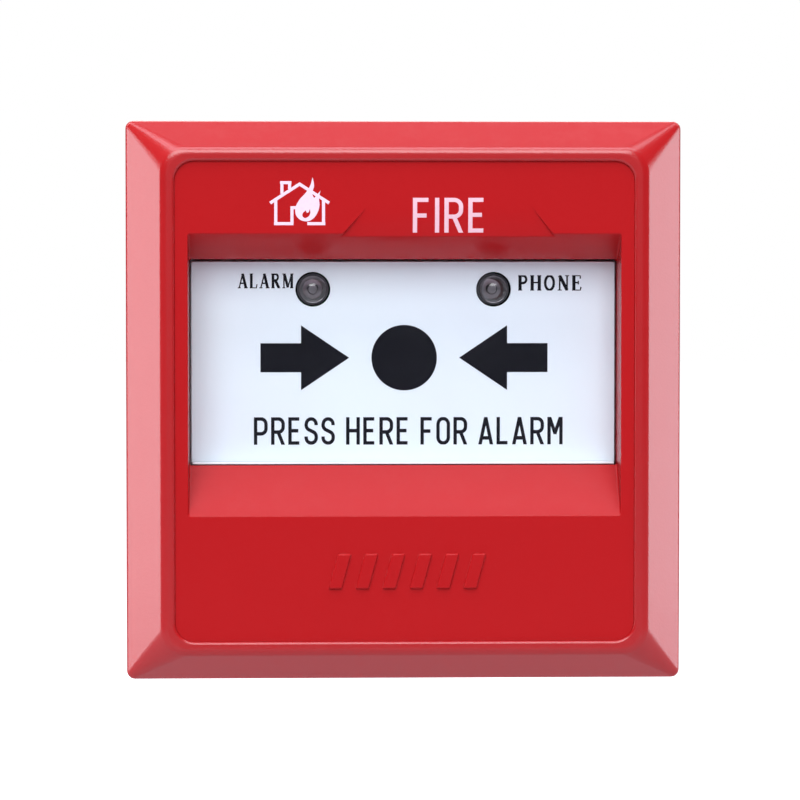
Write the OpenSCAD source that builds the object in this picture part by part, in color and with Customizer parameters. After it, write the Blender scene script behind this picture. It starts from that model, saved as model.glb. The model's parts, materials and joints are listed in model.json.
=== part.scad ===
// Manual call point: a wall box that the cables enter, and a front unit that plugs onto it.
// A printed press plate swings in on a rod, trips a microswitch and is caught by a spring.
// A key turned in the barrel underneath lets the plate out again.
// Frame: the wall is the plane Y = 0, the face looks along -Y, +Z is up.
// Depths are measured from the wall towards the face.

/* [Front frame] */
// Width across the bevelled frame
frame_w = 95.4; // [94:0.1:98]
// Height of the bevelled frame
frame_h = 96.0; // [95:0.1:99]
// Depth from the wall to the raised rim
total_d = 45.5; // [45.5:0.1:46]
// Depth of the bevel between the side and the rim
bevel_d = 7.0; // [6:0.1:8]
// Width across the outer edge of the raised rim
rim_w = 82.3; // [82:0.1:83]
// Height across the outer edge of the raised rim
rim_h = 85.8; // [85:0.1:87]
// Corner radius of the frame's silhouette
frame_corner_r = 1.4; // [1:0.1:2]

/* [Face cover] */
// Width of the recessed cover
cover_w = 78.0; // [78:0.1:78.2]
// Height of the recessed cover
cover_h = 81.5; // [81.3:0.1:81.8]
// How far the cover lies below the rim
cover_drop = 0.6; // [0.4:0.1:1]
// Half width of the window at its front edge
window_half_w = 36.9; // [36.85:0.05:37]
// Top of the upper bevel of the window
window_top = 28.6; // [28:0.1:29]
// Bottom of the lower ramp of the window
window_bottom = -19.5; // [-20:0.1:-19]
// Depth of the window's floor below the cover
window_sink = 6.6; // [6.4:0.1:6.7]

/* [Press plate] */
// Width of the clear pane
pane_w = 73.2; // [72.6:0.1:73.3]
// Top edge of the pane
pane_top = 23.9; // [23.5:0.1:23.9]
// Bottom edge of the pane
pane_bottom = -10.95; // [-10.95:0.05:-10.6]
// Thickness of the clear pane
pane_t = 2.0; // [1.5:0.1:2]
// Sideways distance of each indicator from the middle
led_x = 15.6; // [15:0.1:16]
// Height of the indicators
led_z = 19.1; // [18.8:0.1:19.3]

/* [Wall box] */
// Outside width and height of the wall box
box_w = 86; // [86:0.1:87]
// Depth of the wall box
box_d = 22; // [21.5:0.1:22]
// Wall thickness of the wall box
box_wall = 2.5; // [2:0.1:2.5]
// Distance between the two wall screws
screw_spacing = 60; // [58:0.5:62]
// Radius of the wall screw holes
screw_hole_r = 2.25; // [2:0.05:2.5]
// Radius of the bore that the cables pass
cable_bore_r = 9; // [8:0.5:9.5]

/* [Underside] */
// Radius of the key barrel
barrel_r = 4.0; // [3.6:0.1:4]
// Radius of the phone plug's bore
jack_bore_r = 3.25; // [3.2:0.05:3.3]
// Sideways position of the phone jack
jack_x = 18; // [17.5:0.5:18.5]

/* [Hidden] */
$fn = 48;

// Depths of the shells, from the wall towards the face
rim_d = total_d;
cover_d = rim_d - cover_drop;
cover_t = 2.2;
cover_back = cover_d - cover_t;
window_d = cover_d - window_sink;
bevel_start = rim_d - bevel_d;
skirt_overlap = 1.5;
skirt_back = box_d - skirt_overlap;
skirt_t = 2.4;
gasket_t = 1.5;
shoulder_d = box_d + gasket_t;
shoulder_t = 2;
ledge_t = 2.4;
ledge_back = cover_back - ledge_t;
slip = 0.15;

// Window floor, from where a short sleeve runs straight back
window_floor_half_w = 36.85;
window_floor_top = 24.3;
window_floor_bottom = -11.15;
sleeve_back = 33.0;
sleeve_back_bottom = -11.85;
sleeve_t = 1.5;
side_lean = (window_half_w - window_floor_half_w) / window_sink;
ramp_lean = (window_floor_bottom - window_bottom) / window_sink;
ledge_lean = (window_top - window_floor_top) / window_sink;

// Press plate stack, from the pane back to the carrier's flange
pane_d = window_d;
card_t = 0.6;
card_d = pane_d - pane_t;
carrier_d = card_d - card_t;
flange_d = sleeve_back - 0.2;
flange_t = 2.5;
flange_back = flange_d - flange_t;
carrier_rib_d = 29;
led_hole_r = 3.0;

// Hinge of the press plate
hinge_z = 27.8;
hinge_d = 31;
rod_r = 1.0;
running = 0.04;

// Mechanism plate, rear cover and board
plate_d = box_d;
plate_t = 2;
plate_front = plate_d + plate_t;
plate_w = 80;
rear_w = 79.4;
rear_back = 10.4;
rear_floor = 1.6;
board_d = 15;
board_t = 1.6;
board_w = 70;
board_h = 62;
board_front = board_d + board_t;

// Screw and post positions, as [x, z]
cover_screws = [[-30, 37.4], [30, 37.4], [-30, -36.5], [30, -36.5]];
rear_screws = [[-35, 35], [35, 35], [-35, -35], [35, -35]];
board_posts = [[-31, 27], [31, 27], [-31, -27], [31, -27]];
spring_seats = [[-26, -1], [26, -1]];
block_screw_x = 26;

// Wall box and its terminals
box_floor = 2.4;
terminal_x = [-18, 0, 18];
block_w = 58;
block_h = 13;
block_z = 26;
block_top = 9.4;
contact_z = 22.5;
clamp_z = 28.5;
strip_t = 0.5;
strip_back = 3.6;

// Key barrel, latch and phone jack
barrel_d = 31;
boss_low = -40;
boss_high = -26;
cam_low = -21.9;
cam_high = -18;
latch_x = 4.0;
latch_low = -22;
latch_screw_at = [7.8, -18.5];
jack_d = 32;
jack_low = -40;
jack_high = -20;
contact_spread = 4;

// Microswitch
switch_z = 10;
switch_top = 26.9;
lever_x = -8;
lever_d = 27.7;
lever_angle = 7.67;
plunger_x = -3;
pusher_x = 7;

// ---------- helpers ----------

// Stands a flat X-Z outline at a depth, so that extrusion runs towards the face.
module at_depth(d) translate([0, -d, 0]) rotate([90, 0, 0]) children();

// Rounded rectangle with true arcs at its corners.
module rounded(w, h, r) {
    square([w - 2 * r, h], center = true);
    square([w, h - 2 * r], center = true);
    for (x = [-1, 1], z = [-1, 1])
        translate([x * (w / 2 - r), z * (h / 2 - r)]) circle(r);
}

// Layer with a rounded outline between two depths.
module slab(w, h, r, back, front) at_depth(back) linear_extrude(front - back) rounded(w, h, r);

// Plain block between two corners given as x, depth and height.
module block(x0, x1, back, front, z0, z1) translate([x0, -front, z0]) cube([x1 - x0, front - back, z1 - z0]);

// Round post or hole that runs towards the face.
module post(x, z, r, back, front) at_depth(back) translate([x, z, 0]) cylinder(r = r, h = front - back);

// Round post or hole that runs upwards.
module riser(x, d, r, z0, z1) translate([x, -d, z0]) cylinder(r = r, h = z1 - z0);

// Round post or hole that runs to the right.
module crossbar(x0, x1, d, z, r) translate([x0, -d, z]) rotate([0, 90, 0]) cylinder(r = r, h = x1 - x0);

// Straight-sided passage through a row of rectangles, each [depth, half width, low, high], wall side first.
module passage(sections) {
    last = len(sections) - 1;
    corners = [for (s = sections) each [[-s[1], -s[0], s[2]], [s[1], -s[0], s[2]],
        [s[1], -s[0], s[3]], [-s[1], -s[0], s[3]]]];
    sides = [for (i = [0:last - 1], k = [0:3])
        let (a = 4 * i + k, b = 4 * i + (k + 1) % 4) [a, a + 4, b + 4, b]];
    polyhedron(
        points = corners,
        faces = concat([[0, 1, 2, 3]], [[4 * last + 3, 4 * last + 2, 4 * last + 1, 4 * last]], sides));
}

// Round wire along a list of points, closed at both ends.
module wire(path, r, sides = 8) {
    n = len(path);
    function along(i) = path[min(i + 1, n - 1)] - path[max(i - 1, 0)];
    function unit(v) = v / norm(v);
    function side(t) = unit(cross(t, abs(t[2]) < 0.9 * norm(t) ? [0, 0, 1] : [0, 1, 0]));
    rings = [for (i = [0:n - 1])
        let (t = unit(along(i)), u = side(t), v = cross(u, t))
        for (k = [0:sides - 1]) path[i] + r * (cos(360 * k / sides) * u + sin(360 * k / sides) * v)];
    polyhedron(
        points = rings,
        faces = concat(
            [[for (k = [0:sides - 1]) k]],
            [for (i = [0:n - 2], k = [0:sides - 1])
                let (a = i * sides + k, b = i * sides + (k + 1) % sides) [a, a + sides, b + sides, b]],
            [[for (k = [sides - 1:-1:0]) (n - 1) * sides + k]]));
}

// Points of a helix that climbs from 0 to height, with flat end coils.
function helix(turns, r, height, steps = 14) = [for (i = [0:turns * steps])
    let (t = i / (turns * steps), a = 360 * i / steps, flat = 0.16)
    [r * cos(a), r * sin(a), height * min(1, max(0, (t - flat) / (1 - 2 * flat)))
        + 0.6 * (min(t, flat) / flat + max(t - 1 + flat, 0) / flat) - 0.6]];

// ---------- wall box ----------

module box_knockout(side) {
    ring_r = 10;
    groove = 0.9;
    groove_depth = 0.6;
    translate([0, -box_d / 2, side * box_w / 2]) difference() {
        cylinder(r = ring_r, h = 2 * groove_depth, center = true);
        cylinder(r = ring_r - groove, h = 3, center = true);
    }
}

module back_box() {
    corner_r = 3;
    inner_w = box_w - 2 * box_wall;
    cable_hole_r = 12;
    pad_r = 5;
    pad_d = 4;
    color("firebrick") difference() {
        union() {
            difference() {
                slab(box_w, box_w, corner_r, 0, box_d);
                slab(inner_w, inner_w, corner_r / 2, box_floor, box_d + 1);
            }
            for (side = [-1, 1]) post(side * screw_spacing / 2, 0, pad_r, box_floor - 0.5, pad_d);
        }
        for (side = [-1, 1]) post(side * screw_spacing / 2, 0, screw_hole_r, -1, pad_d + 1);
        post(0, 0, cable_hole_r, -1, box_floor + 1);
        for (x = [-1, 1], z = [-1, 1]) post(x * block_screw_x, z * block_z, 1.05, 1, box_floor + 1);
        box_knockout(1);
        box_knockout(-1);
    }
}

module cable_grommet() {
    body_r = 11.95;
    flange_r = 13.6;
    flange_t = 0.8;
    lip = 0.5;
    top = box_floor + flange_t + lip;
    color("black") at_depth(0) rotate_extrude()
        polygon([[cable_bore_r, 0], [body_r, 0], [body_r, box_floor], [flange_r, box_floor],
            [flange_r, box_floor + flange_t], [flange_r - lip, top], [cable_bore_r, top]]);
}

// Three-way block: screws clamp the wires, and a slot beside each screw takes a plug blade.
module terminal_block(side) {
    well_r = 2.5;
    well_back = 4.4;
    slot_half_w = 3;
    slot_half_h = 1.5;
    channel = 1.4;
    wire_r = 1.5;
    wire_d = 5.4;
    wire_l = 6;
    ridge_w = 1.2;
    ridge_h = 0.6;
    low = side * block_z - block_h / 2;
    high = side * block_z + block_h / 2;
    difference() {
        block(-block_w / 2, block_w / 2, box_floor, block_top, low, high);
        for (x = terminal_x) {
            post(x, side * clamp_z, well_r, well_back, block_top + 1);
            block(x - slot_half_w, x + slot_half_w, strip_back, block_top + 1,
                side * contact_z - slot_half_h, side * contact_z + slot_half_h);
            block(x - channel, x + channel, strip_back, well_back + 0.1,
                min(side * contact_z, side * (clamp_z + slot_half_h)),
                max(side * contact_z, side * (clamp_z + slot_half_h)));
            translate([x, -wire_d, side * (block_z + block_h / 2 - wire_l / 2)])
                cylinder(r = wire_r, h = wire_l + 2, center = true);
        }
        for (end = [-1, 1]) {
            post(end * block_screw_x, side * block_z, 1.3, 0, block_top + 1);
            post(end * block_screw_x, side * block_z, 2.6, 6.4, block_top + 1);
        }
    }
    for (x = [-9, 9])
        block(x - ridge_w / 2, x + ridge_w / 2, block_top - 0.01, block_top + ridge_h, low, high);
}

module terminal_block_top() color("dimgray") terminal_block(1);

module terminal_block_bottom() color("dimgray") terminal_block(-1);

// Screw driven from the face, with a straight slot.
module slotted_screw(x, z, head_r, shank_r, seat, head_t, tip) {
    slot_w = 0.7;
    difference() {
        union() {
            post(x, z, head_r, seat, seat + head_t);
            post(x, z, shank_r, tip, seat + 0.01);
        }
        block(x - head_r - 1, x + head_r + 1, seat + head_t - slot_w, seat + head_t + 1,
            z - slot_w / 2, z + slot_w / 2);
    }
}

// Screw driven from the wall side, with a cross recess.
module cross_screw(x, z, head_r, shank_r, seat, head_t, tip) {
    arm = 1.4;
    half_w = 0.3;
    sunk = 0.9;
    head_back = seat - head_t;
    difference() {
        union() {
            post(x, z, head_r, head_back, seat);
            post(x, z, shank_r, seat - 0.01, tip);
        }
        block(x - arm, x + arm, head_back - 1, head_back + sunk, z - half_w, z + half_w);
        block(x - half_w, x + half_w, head_back - 1, head_back + sunk, z - arm, z + arm);
    }
}

module block_screws() color("silver")
    for (x = [-1, 1], z = [-1, 1])
        slotted_screw(x * block_screw_x, z * block_z, 2.4, 1.0, 6.4, 1.6, 1.2);

module terminal_screws() color("silver")
    for (x = terminal_x, side = [-1, 1])
        slotted_screw(x, side * clamp_z, 2.3, 1.2, 7.0, 1.8, 4.6);

module terminal_clamps() {
    clamp_back = 6.0;
    clamp_front = 6.9;
    color("gold") for (x = terminal_x, side = [-1, 1]) difference() {
        post(x, side * clamp_z, 2.35, clamp_back, clamp_front);
        post(x, side * clamp_z, 1.3, clamp_back - 1, clamp_front + 1);
    }
}

// Sprung fork for a plug blade, with a strip that runs under the clamp.
module base_contacts() {
    half_w = 2.6;
    half_h = 0.95;
    half_gap = 0.5;
    fork_front = 9.0;
    strip_half_w = 1.2;
    color("gold") for (x = terminal_x, side = [-1, 1]) {
        z = side * contact_z;
        difference() {
            block(x - half_w, x + half_w, strip_back + 0.05, fork_front, z - half_h, z + half_h);
            block(x - half_w - 1, x + half_w + 1, strip_back + strip_t, fork_front + 1,
                z - half_gap, z + half_gap);
        }
        block(x - strip_half_w, x + strip_half_w, strip_back + 0.05, strip_back + strip_t,
            min(z, side * (clamp_z + 1)), max(z, side * (clamp_z + 1)));
    }
}

// Bowed strip on the box's side wall: its bow sits in a notch of the front unit.
module retaining_clip() {
    strip = 0.35;
    bow = 0.65;
    bow_start = 14;
    bow_d = 16.7;
    bow_end = 19.4;
    foot = 3.5;
    half_h = 5;
    wall = box_w / 2 - box_wall - 0.02;
    low = box_floor + 0.02;
    translate([0, 0, -half_h]) linear_extrude(2 * half_h) polygon([
        [wall - foot, -low], [wall, -low], [wall, -bow_start], [wall - bow, -bow_d], [wall, -bow_end],
        [wall - strip, -bow_end - 0.2], [wall - bow - strip - 0.05, -bow_d], [wall - strip, -bow_start],
        [wall - strip, -low - strip], [wall - foot, -low - strip]]);
}

module retaining_clips() color("silver") {
    retaining_clip();
    mirror([1, 0, 0]) retaining_clip();
}

module seal_gasket() {
    outer = box_w - 0.4;
    inner = box_w - 2 * box_wall + 0.6;
    color("black") difference() {
        slab(outer, outer, 2.8, box_d, shoulder_d);
        slab(inner, inner, 1.5, box_d - 1, shoulder_d + 1);
    }
}

// ---------- shells of the front unit ----------

// Very thin rounded sheet, as one ring of a blended shape.
module thin(w, h, r, d) at_depth(d - 0.02) linear_extrude(0.02) rounded(w, h, r, $fn = 32);

module bevelled_body() {
    rim_r = 4.5;
    edge = 0.45;
    slab(frame_w, frame_h, frame_corner_r, skirt_back, bevel_start);
    hull() {
        thin(frame_w, frame_h, frame_corner_r, bevel_start);
        thin(rim_w, rim_h, rim_r, rim_d - 0.3);
        thin(rim_w - 2 * edge, rim_h - 2 * edge, rim_r - edge, rim_d);
    }
}

module frame_cavity() {
    inner_w = frame_w - 2 * skirt_t;
    inner_h = frame_h - 2 * skirt_t;
    shoulder_w = 83;
    under_rim = 3;
    slab(inner_w, inner_h, 1, skirt_back - 1, shoulder_d);
    slab(shoulder_w, shoulder_w, 1.5, shoulder_d - 1, shoulder_d + shoulder_t + 1);
    slab(inner_w, inner_h, 1, shoulder_d + shoulder_t, bevel_start - 1);
    hull() {
        thin(inner_w, inner_h, 1, bevel_start - 1);
        thin(rim_w, rim_h, under_rim, rim_d - under_rim);
    }
    slab(cover_w + 2 * slip, cover_h + 2 * slip, 3.2 + slip, rim_d - 4, rim_d + 1);
}

module frame_ledges() {
    half_w = 34.2;
    for (z = [[36, 44], [-44, -31]]) block(-half_w, half_w, ledge_back, cover_back, z[0], z[1]);
}

module front_frame() {
    bottom = -frame_h / 2;
    pad_high = -43.6;
    nut_seat = -46.3;
    color("firebrick") difference() {
        union() {
            difference() {
                bevelled_body();
                frame_cavity();
            }
            frame_ledges();
            block(jack_x - 8, jack_x + 8, shoulder_d + 0.5, bevel_start - 0.5, bottom + 1, pad_high);
        }
        for (s = cover_screws) post(s[0], s[1], 3.0, ledge_back - 1, cover_back + 1);
        riser(0, barrel_d, barrel_r + 0.3, bottom - 1, bottom + 4);
        riser(jack_x, jack_d, 5.9, bottom - 1, nut_seat);
        riser(jack_x, jack_d, 4.5, bottom + 1, pad_high + 1);
    }
}

// The window as a passage: its floor, its ramps and its short sleeve, all widened by a wall thickness.
module window_passage(extra, reach) passage([
    [sleeve_back - reach, window_floor_half_w + extra, sleeve_back_bottom - extra, window_floor_top + extra],
    [window_d, window_floor_half_w + extra, window_floor_bottom - extra, window_floor_top + extra],
    [cover_d + reach, window_half_w + extra + reach * side_lean,
        window_bottom - extra - reach * ramp_lean, window_top + extra + reach * ledge_lean]]);

// Shallow sloped facet above the window, deepest at the window's edge.
module text_facet() {
    middle = 7.3;
    low_half = 18.1;
    high_half = 14;
    low = window_top - 0.4;
    high = 33.1;
    sunk = 0.7;
    front = cover_d + 1;
    translate([middle, 0, 0]) polyhedron(
        points = [[-low_half, -front, low], [low_half, -front, low],
            [high_half, -front, high], [-high_half, -front, high],
            [-low_half, sunk - cover_d, low], [low_half, sunk - cover_d, low],
            [high_half, -cover_d, high], [-high_half, -cover_d, high]],
        faces = [[3, 2, 1, 0], [4, 5, 6, 7], [1, 5, 4, 0], [2, 6, 5, 1], [3, 7, 6, 2], [0, 4, 7, 3]]);
}

// Plain row of slanted raised bars on the lower part of the cover.
module raised_bars() {
    bars = 6;
    step = 4.6;
    half_w = 1.1;
    half_h = 3;
    lean = 0.8;
    middle = 0.4;
    bar_z = -28.9;
    raised = 0.35;
    for (i = [0:bars - 1])
        translate([middle + (i - (bars - 1) / 2) * step, 0, bar_z])
            at_depth(cover_d - 0.2) linear_extrude(0.2 + raised)
                polygon([[-half_w - lean, -half_h], [half_w - lean, -half_h],
                    [half_w + lean, half_h], [-half_w + lean, half_h]]);
}

module face_cover() {
    boss_r = 2.8;
    pilot_r = 1.15;
    margin = window_half_w + sleeve_t + 1;
    color("firebrick") difference() {
        union() {
            slab(cover_w, cover_h, 3.2, cover_back, cover_d);
            intersection() {
                window_passage(sleeve_t, 0);
                block(-margin, margin, sleeve_back, cover_d, window_bottom - 5, window_top + 5);
            }
            for (s = cover_screws) post(s[0], s[1], boss_r, ledge_back + 0.2, cover_back + 0.01);
            raised_bars();
        }
        window_passage(0, 1);
        text_facet();
        for (s = cover_screws) post(s[0], s[1], pilot_r, ledge_back - 1, cover_d - 1);
    }
}

// ---------- mechanism plate ----------

module hinge_lug(side) {
    lug_r = 2.4;
    lug_t = 3.2;
    outer = 38;
    x0 = side > 0 ? outer - lug_t : -outer;
    difference() {
        union() {
            block(x0, x0 + lug_t, plate_front - 0.5, hinge_d, hinge_z - lug_r, hinge_z + lug_r);
            crossbar(x0, x0 + lug_t, hinge_d, hinge_z, lug_r);
        }
        crossbar(x0 - 1, x0 + lug_t + 1, hinge_d, hinge_z, rod_r + 0.01);
    }
}

module chassis() {
    seat_r = 5.2;
    seat_front = 26.1;
    seat_bore_r = 3.9;
    boss_half_w = 6.5;
    boss_front = 36;
    spacer_hole_r = 3.2;
    stop_front = 24.75;
    switch_gap = [11.5, 4.6];
    color([0.16, 0.16, 0.17]) {
        difference() {
            union() {
                slab(plate_w, plate_w, 2.5, plate_d, plate_front);
                for (s = cover_screws) post(s[0], s[1], 3.4, plate_d, ledge_back);
                for (s = spring_seats) post(s[0], s[1], seat_r, plate_d, seat_front);
                for (x = [-14, 14])
                    block(x - 3, x + 3, plate_front - 0.5, stop_front, -12.6, -10);
                block(-boss_half_w, boss_half_w, plate_d, boss_front, boss_low, boss_high);
            }
            for (s = cover_screws) post(s[0], s[1], 1.45, plate_d - 1, ledge_back + 1);
            for (s = cover_screws) post(s[0], s[1], 2.6, plate_d - 1, plate_d + 1.4);
            for (s = rear_screws) post(s[0], s[1], 1.05, plate_d - 1, plate_front + 1);
            for (s = spring_seats) post(s[0], s[1], seat_bore_r, plate_front, seat_front + 1);
            for (x = [-led_x, led_x]) post(x, led_z, spacer_hole_r, plate_d - 1, plate_front + 1);
            block(-switch_gap[0], switch_gap[0], plate_d - 1, plate_front + 1,
                switch_z - switch_gap[1], switch_z + switch_gap[1]);
            block(jack_x - 6, jack_x + 6, plate_d - 1, plate_front + 1, -31, -27);
            post(latch_screw_at[0], latch_screw_at[1], 1.05, plate_d - 1, plate_front + 1);
            riser(0, barrel_d, barrel_r + 0.05, boss_low - 1, boss_high + 1);
        }
        hinge_lug(1);
        hinge_lug(-1);
    }
}

module chassis_screws() color("silver")
    for (s = cover_screws) cross_screw(s[0], s[1], 2.4, 1.1, plate_d + 1.4, 1.3, cover_d - 1.1);

module rear_cover() {
    wall = 1.6;
    notch_sunk = 0.6;
    notch_half_h = 6;
    head_sunk = 2;
    color([0.16, 0.16, 0.17]) difference() {
        union() {
            difference() {
                slab(rear_w, rear_w, 3, rear_back, plate_d);
                slab(rear_w - 2 * wall, rear_w - 2 * wall, 2, rear_back + rear_floor, plate_d + 1);
            }
            for (s = rear_screws) post(s[0], s[1], 3.2, rear_back, plate_d);
            for (p = board_posts) {
                post(p[0], p[1], 2.2, rear_back, board_d);
                post(p[0], p[1], 0.95, rear_back, board_front + 0.5);
            }
        }
        for (s = rear_screws) {
            post(s[0], s[1], 1.3, rear_back - 1, plate_d + 1);
            post(s[0], s[1], 2.6, rear_back - 1, rear_back + head_sunk);
        }
        for (x = terminal_x, side = [-1, 1])
            block(x - 2.6, x + 2.6, rear_back - 1, rear_back + rear_floor + 1,
                side * contact_z - 0.9, side * contact_z + 0.9);
        for (side = [-1, 1])
            block(side * rear_w / 2 - notch_sunk, side * rear_w / 2 + notch_sunk, 14.6, 18.8,
                -notch_half_h, notch_half_h);
    }
}

module rear_cover_screws() color("silver")
    for (s = rear_screws) cross_screw(s[0], s[1], 2.4, 1.0, rear_back + 2, 1.7, plate_front - 0.1);

// ---------- press plate ----------

module hinge_rod() color("silver") crossbar(-38.1, 38.1, hinge_d, hinge_z, rod_r);

module press_sheet(w, low, high, back, front) difference() {
    block(-w / 2, w / 2, back, front, low, high);
    for (x = [-led_x, led_x]) post(x, led_z, led_hole_r, back - 1, front + 1);
}

module press_pane() color("white", 0.4) press_sheet(pane_w, pane_bottom, pane_top, card_d, pane_d);

module legend_card() color("white")
    press_sheet(pane_w - 0.1, pane_bottom + 0.05, pane_top - 0.05, carrier_d, card_d);

module carrier_knuckle(x0, x1) {
    knuckle_r = 2.3;
    crossbar(x0, x1, hinge_d, hinge_z, knuckle_r);
    block(x0, x1, flange_back, flange_d - 0.4, 24, hinge_z);
}

module press_carrier() {
    half_w = 36.5;
    flange_half_w = 38;
    flange_low = -13;
    flange_high = 24.9;
    tongue_low = -15;
    led_gap_r = 3.3;
    peg_r = 2.2;
    rib = 1.2;
    rib_x = 34;
    pusher_tip = 30.0;
    relief = 1;
    color("gainsboro") difference() {
        union() {
            block(-half_w, half_w, flange_d - 0.01, carrier_d, pane_bottom + 0.15, pane_top);
            block(-flange_half_w, flange_half_w, flange_back, flange_d, flange_low, flange_high);
            block(-3, 3.5, flange_back, flange_d, tongue_low, flange_low + 0.1);
            carrier_knuckle(24, 34.4);
            carrier_knuckle(-34.4, -24);
            for (s = spring_seats) post(s[0], s[1], peg_r, 28.6, flange_back + 0.01);
            block(pusher_x - rib / 2, pusher_x + rib / 2, pusher_tip, flange_back + 0.01,
                switch_z - rib / 2, switch_z + rib / 2);
            for (x = [-rib_x, rib_x])
                block(x - rib / 2, x + rib / 2, carrier_rib_d, flange_back + 0.01, -11, 22);
            block(-rib_x, rib_x, carrier_rib_d, flange_back + 0.01, -11.6, -10.4);
        }
        for (x = [-led_x, led_x]) post(x, led_z, led_gap_r, carrier_rib_d - 1, carrier_d + 1);
        block(-10.5, -6, flange_back - 1, flange_back + relief, switch_z - 4.2, switch_z + 4.2);
        crossbar(-40, 40, hinge_d, hinge_z, rod_r + running);
    }
}

module return_springs() {
    coil_r = 3.1;
    wire_r = 0.3;
    lift = 0.95;
    color("silver") for (s = spring_seats)
        translate([s[0], -plate_front - lift, s[1]]) rotate([90, 0, 0]) wire(helix(4, coil_r, 4.4), wire_r);
}

// ---------- catch and key barrel ----------

// Leaf that the plate's tongue pushes aside and snaps behind.
module latch_spring() {
    leaf = 0.4;
    foot_end = 10.5;
    foot_d = plate_front;
    nose = 1.2;
    nose_back = 28.55;
    ramp_start = 29.0;
    ramp_end = 30.2;
    tip_d = 33.8;
    leaf_h = 8.5;
    color("silver") difference() {
        translate([0, 0, latch_low]) linear_extrude(leaf_h) polygon([
            [latch_x + leaf, -foot_d - leaf], [foot_end, -foot_d - leaf], [foot_end, -foot_d],
            [latch_x, -foot_d], [latch_x, -nose_back], [latch_x - nose, -nose_back],
            [latch_x - nose, -ramp_start], [latch_x, -ramp_end], [latch_x, -tip_d + 0.6],
            [latch_x + 0.6, -tip_d], [latch_x + 1, -tip_d + 0.2], [latch_x + leaf, -tip_d + 0.8]]);
        post(latch_screw_at[0], latch_screw_at[1], 1.1, foot_d - 1, foot_d + 1);
    }
}

module latch_screw() color("silver")
    slotted_screw(latch_screw_at[0], latch_screw_at[1], 1.9, 1.0, plate_front + 0.4, 1.2, 20.5);

module reset_barrel() {
    low = -frame_h / 2 + 0.2;
    flange_r = 4.7;
    flange_t = 0.55;
    stem_r = 3.0;
    lobe_r = 1.6;
    lobe_reach = 3.6;
    groove_r = 3.3;
    key_half_w = 0.75;
    key_reach = 2.9;
    key_r = 1.5;
    key_l = 8;
    color("silver") difference() {
        union() {
            riser(0, barrel_d, barrel_r, low, boss_high);
            riser(0, barrel_d, flange_r, boss_high + 0.05, boss_high + 0.05 + flange_t);
            riser(0, barrel_d, stem_r, boss_high - 0.5, cam_high);
            translate([0, -barrel_d, cam_low]) linear_extrude(cam_high - cam_low) {
                translate([0, -lobe_reach]) circle(lobe_r);
                translate([-lobe_r, -lobe_reach]) square([2 * lobe_r, lobe_reach]);
            }
        }
        difference() {
            riser(0, barrel_d, barrel_r + 2, boss_low - 0.9, boss_low - 0.2);
            riser(0, barrel_d, groove_r, boss_low - 2, boss_low + 1);
        }
        block(-key_half_w, key_half_w, barrel_d - key_reach, barrel_d + key_reach, low - 1, low + key_l);
        riser(0, barrel_d, key_r, low - 1, low + key_l);
    }
}

module barrel_clip() {
    clip_r = 5.6;
    inner_r = 3.35;
    clip_low = boss_low - 0.85;
    clip_high = boss_low - 0.25;
    half_gap = 1.8;
    color("silver") difference() {
        riser(0, barrel_d, clip_r, clip_low, clip_high);
        riser(0, barrel_d, inner_r, clip_low - 1, clip_high + 1);
        block(-half_gap, half_gap, barrel_d, barrel_d + clip_r + 1, clip_low - 1, clip_high + 1);
    }
}

module reset_spring() color("silver")
    translate([0, -barrel_d, boss_high + 1.55]) wire(helix(3, 3.5, 1.2), 0.25);

// ---------- microswitch ----------

module microswitch_body() {
    half_w = 9.9;
    half_h = 3.2;
    ear = 1;
    ear_front = 28.3;
    pivot_r = 0.35;
    color([0.1, 0.1, 0.11]) {
        difference() {
            block(-half_w, half_w, board_front + 0.3, switch_top, switch_z - half_h, switch_z + half_h);
            for (x = [-4.8, 4.8]) riser(x, 19.6, 1.1, switch_z - 5, switch_z + 5);
            post(plunger_x, switch_z, 1.0, 24.2, switch_top + 1);
        }
        for (z = [switch_z - half_h, switch_z + half_h - ear])
            block(-9, -7.1, switch_top - 0.1, ear_front, z, z + ear);
        riser(lever_x, lever_d, pivot_r, switch_z - half_h + 0.2, switch_z + half_h - 0.2);
    }
}

module microswitch_lever() {
    arm = 16.6;
    arm_start = 0.3;
    arm_t = 0.3;
    arm_h = 3.6;
    eye_r = 0.72;
    eye_h = 3.8;
    color("silver") translate([lever_x, -lever_d, switch_z - eye_h / 2]) difference() {
        union() {
            cylinder(r = eye_r, h = eye_h);
            rotate([0, 0, -lever_angle])
                translate([arm_start, -arm_t / 2, (eye_h - arm_h) / 2]) cube([arm, arm_t, arm_h]);
        }
        translate([0, 0, -1]) cylinder(r = 0.39, h = eye_h + 2);
    }
}

module microswitch_plunger() color("firebrick") post(plunger_x, switch_z, 0.9, 25.0, 28.0);

module microswitch_terminals() color("gold")
    for (x = [-7.5, 0, 7.5])
        block(x - 0.4, x + 0.4, 13.6, board_front + 0.3, switch_z - 1, switch_z + 1);

// ---------- circuit board ----------

module circuit_board() color("seagreen") difference() {
    slab(board_w, board_h, 1.5, board_d, board_front);
    for (p = board_posts) post(p[0], p[1], 1.0, board_d - 1, board_front + 1);
    for (x = [-7.5, 0, 7.5])
        block(x - 0.6, x + 0.6, board_d - 1, board_front + 1, switch_z - 1.2, switch_z + 1.2);
    for (x = terminal_x, side = [-1, 1])
        block(x - 0.8, x + 0.8, board_d - 1, board_front + 1,
            side * contact_z - 0.6, side * contact_z + 0.6);
    for (x = [-led_x, led_x], lead = [-1.27, 1.27])
        post(x + lead, led_z, 0.5, board_d - 1, board_front + 1);
    for (x = [-contact_spread, 0, contact_spread])
        block(jack_x + x - 0.7, jack_x + x + 0.7, board_d - 1, board_front + 1, -30.2, -27.8);
}

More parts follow.
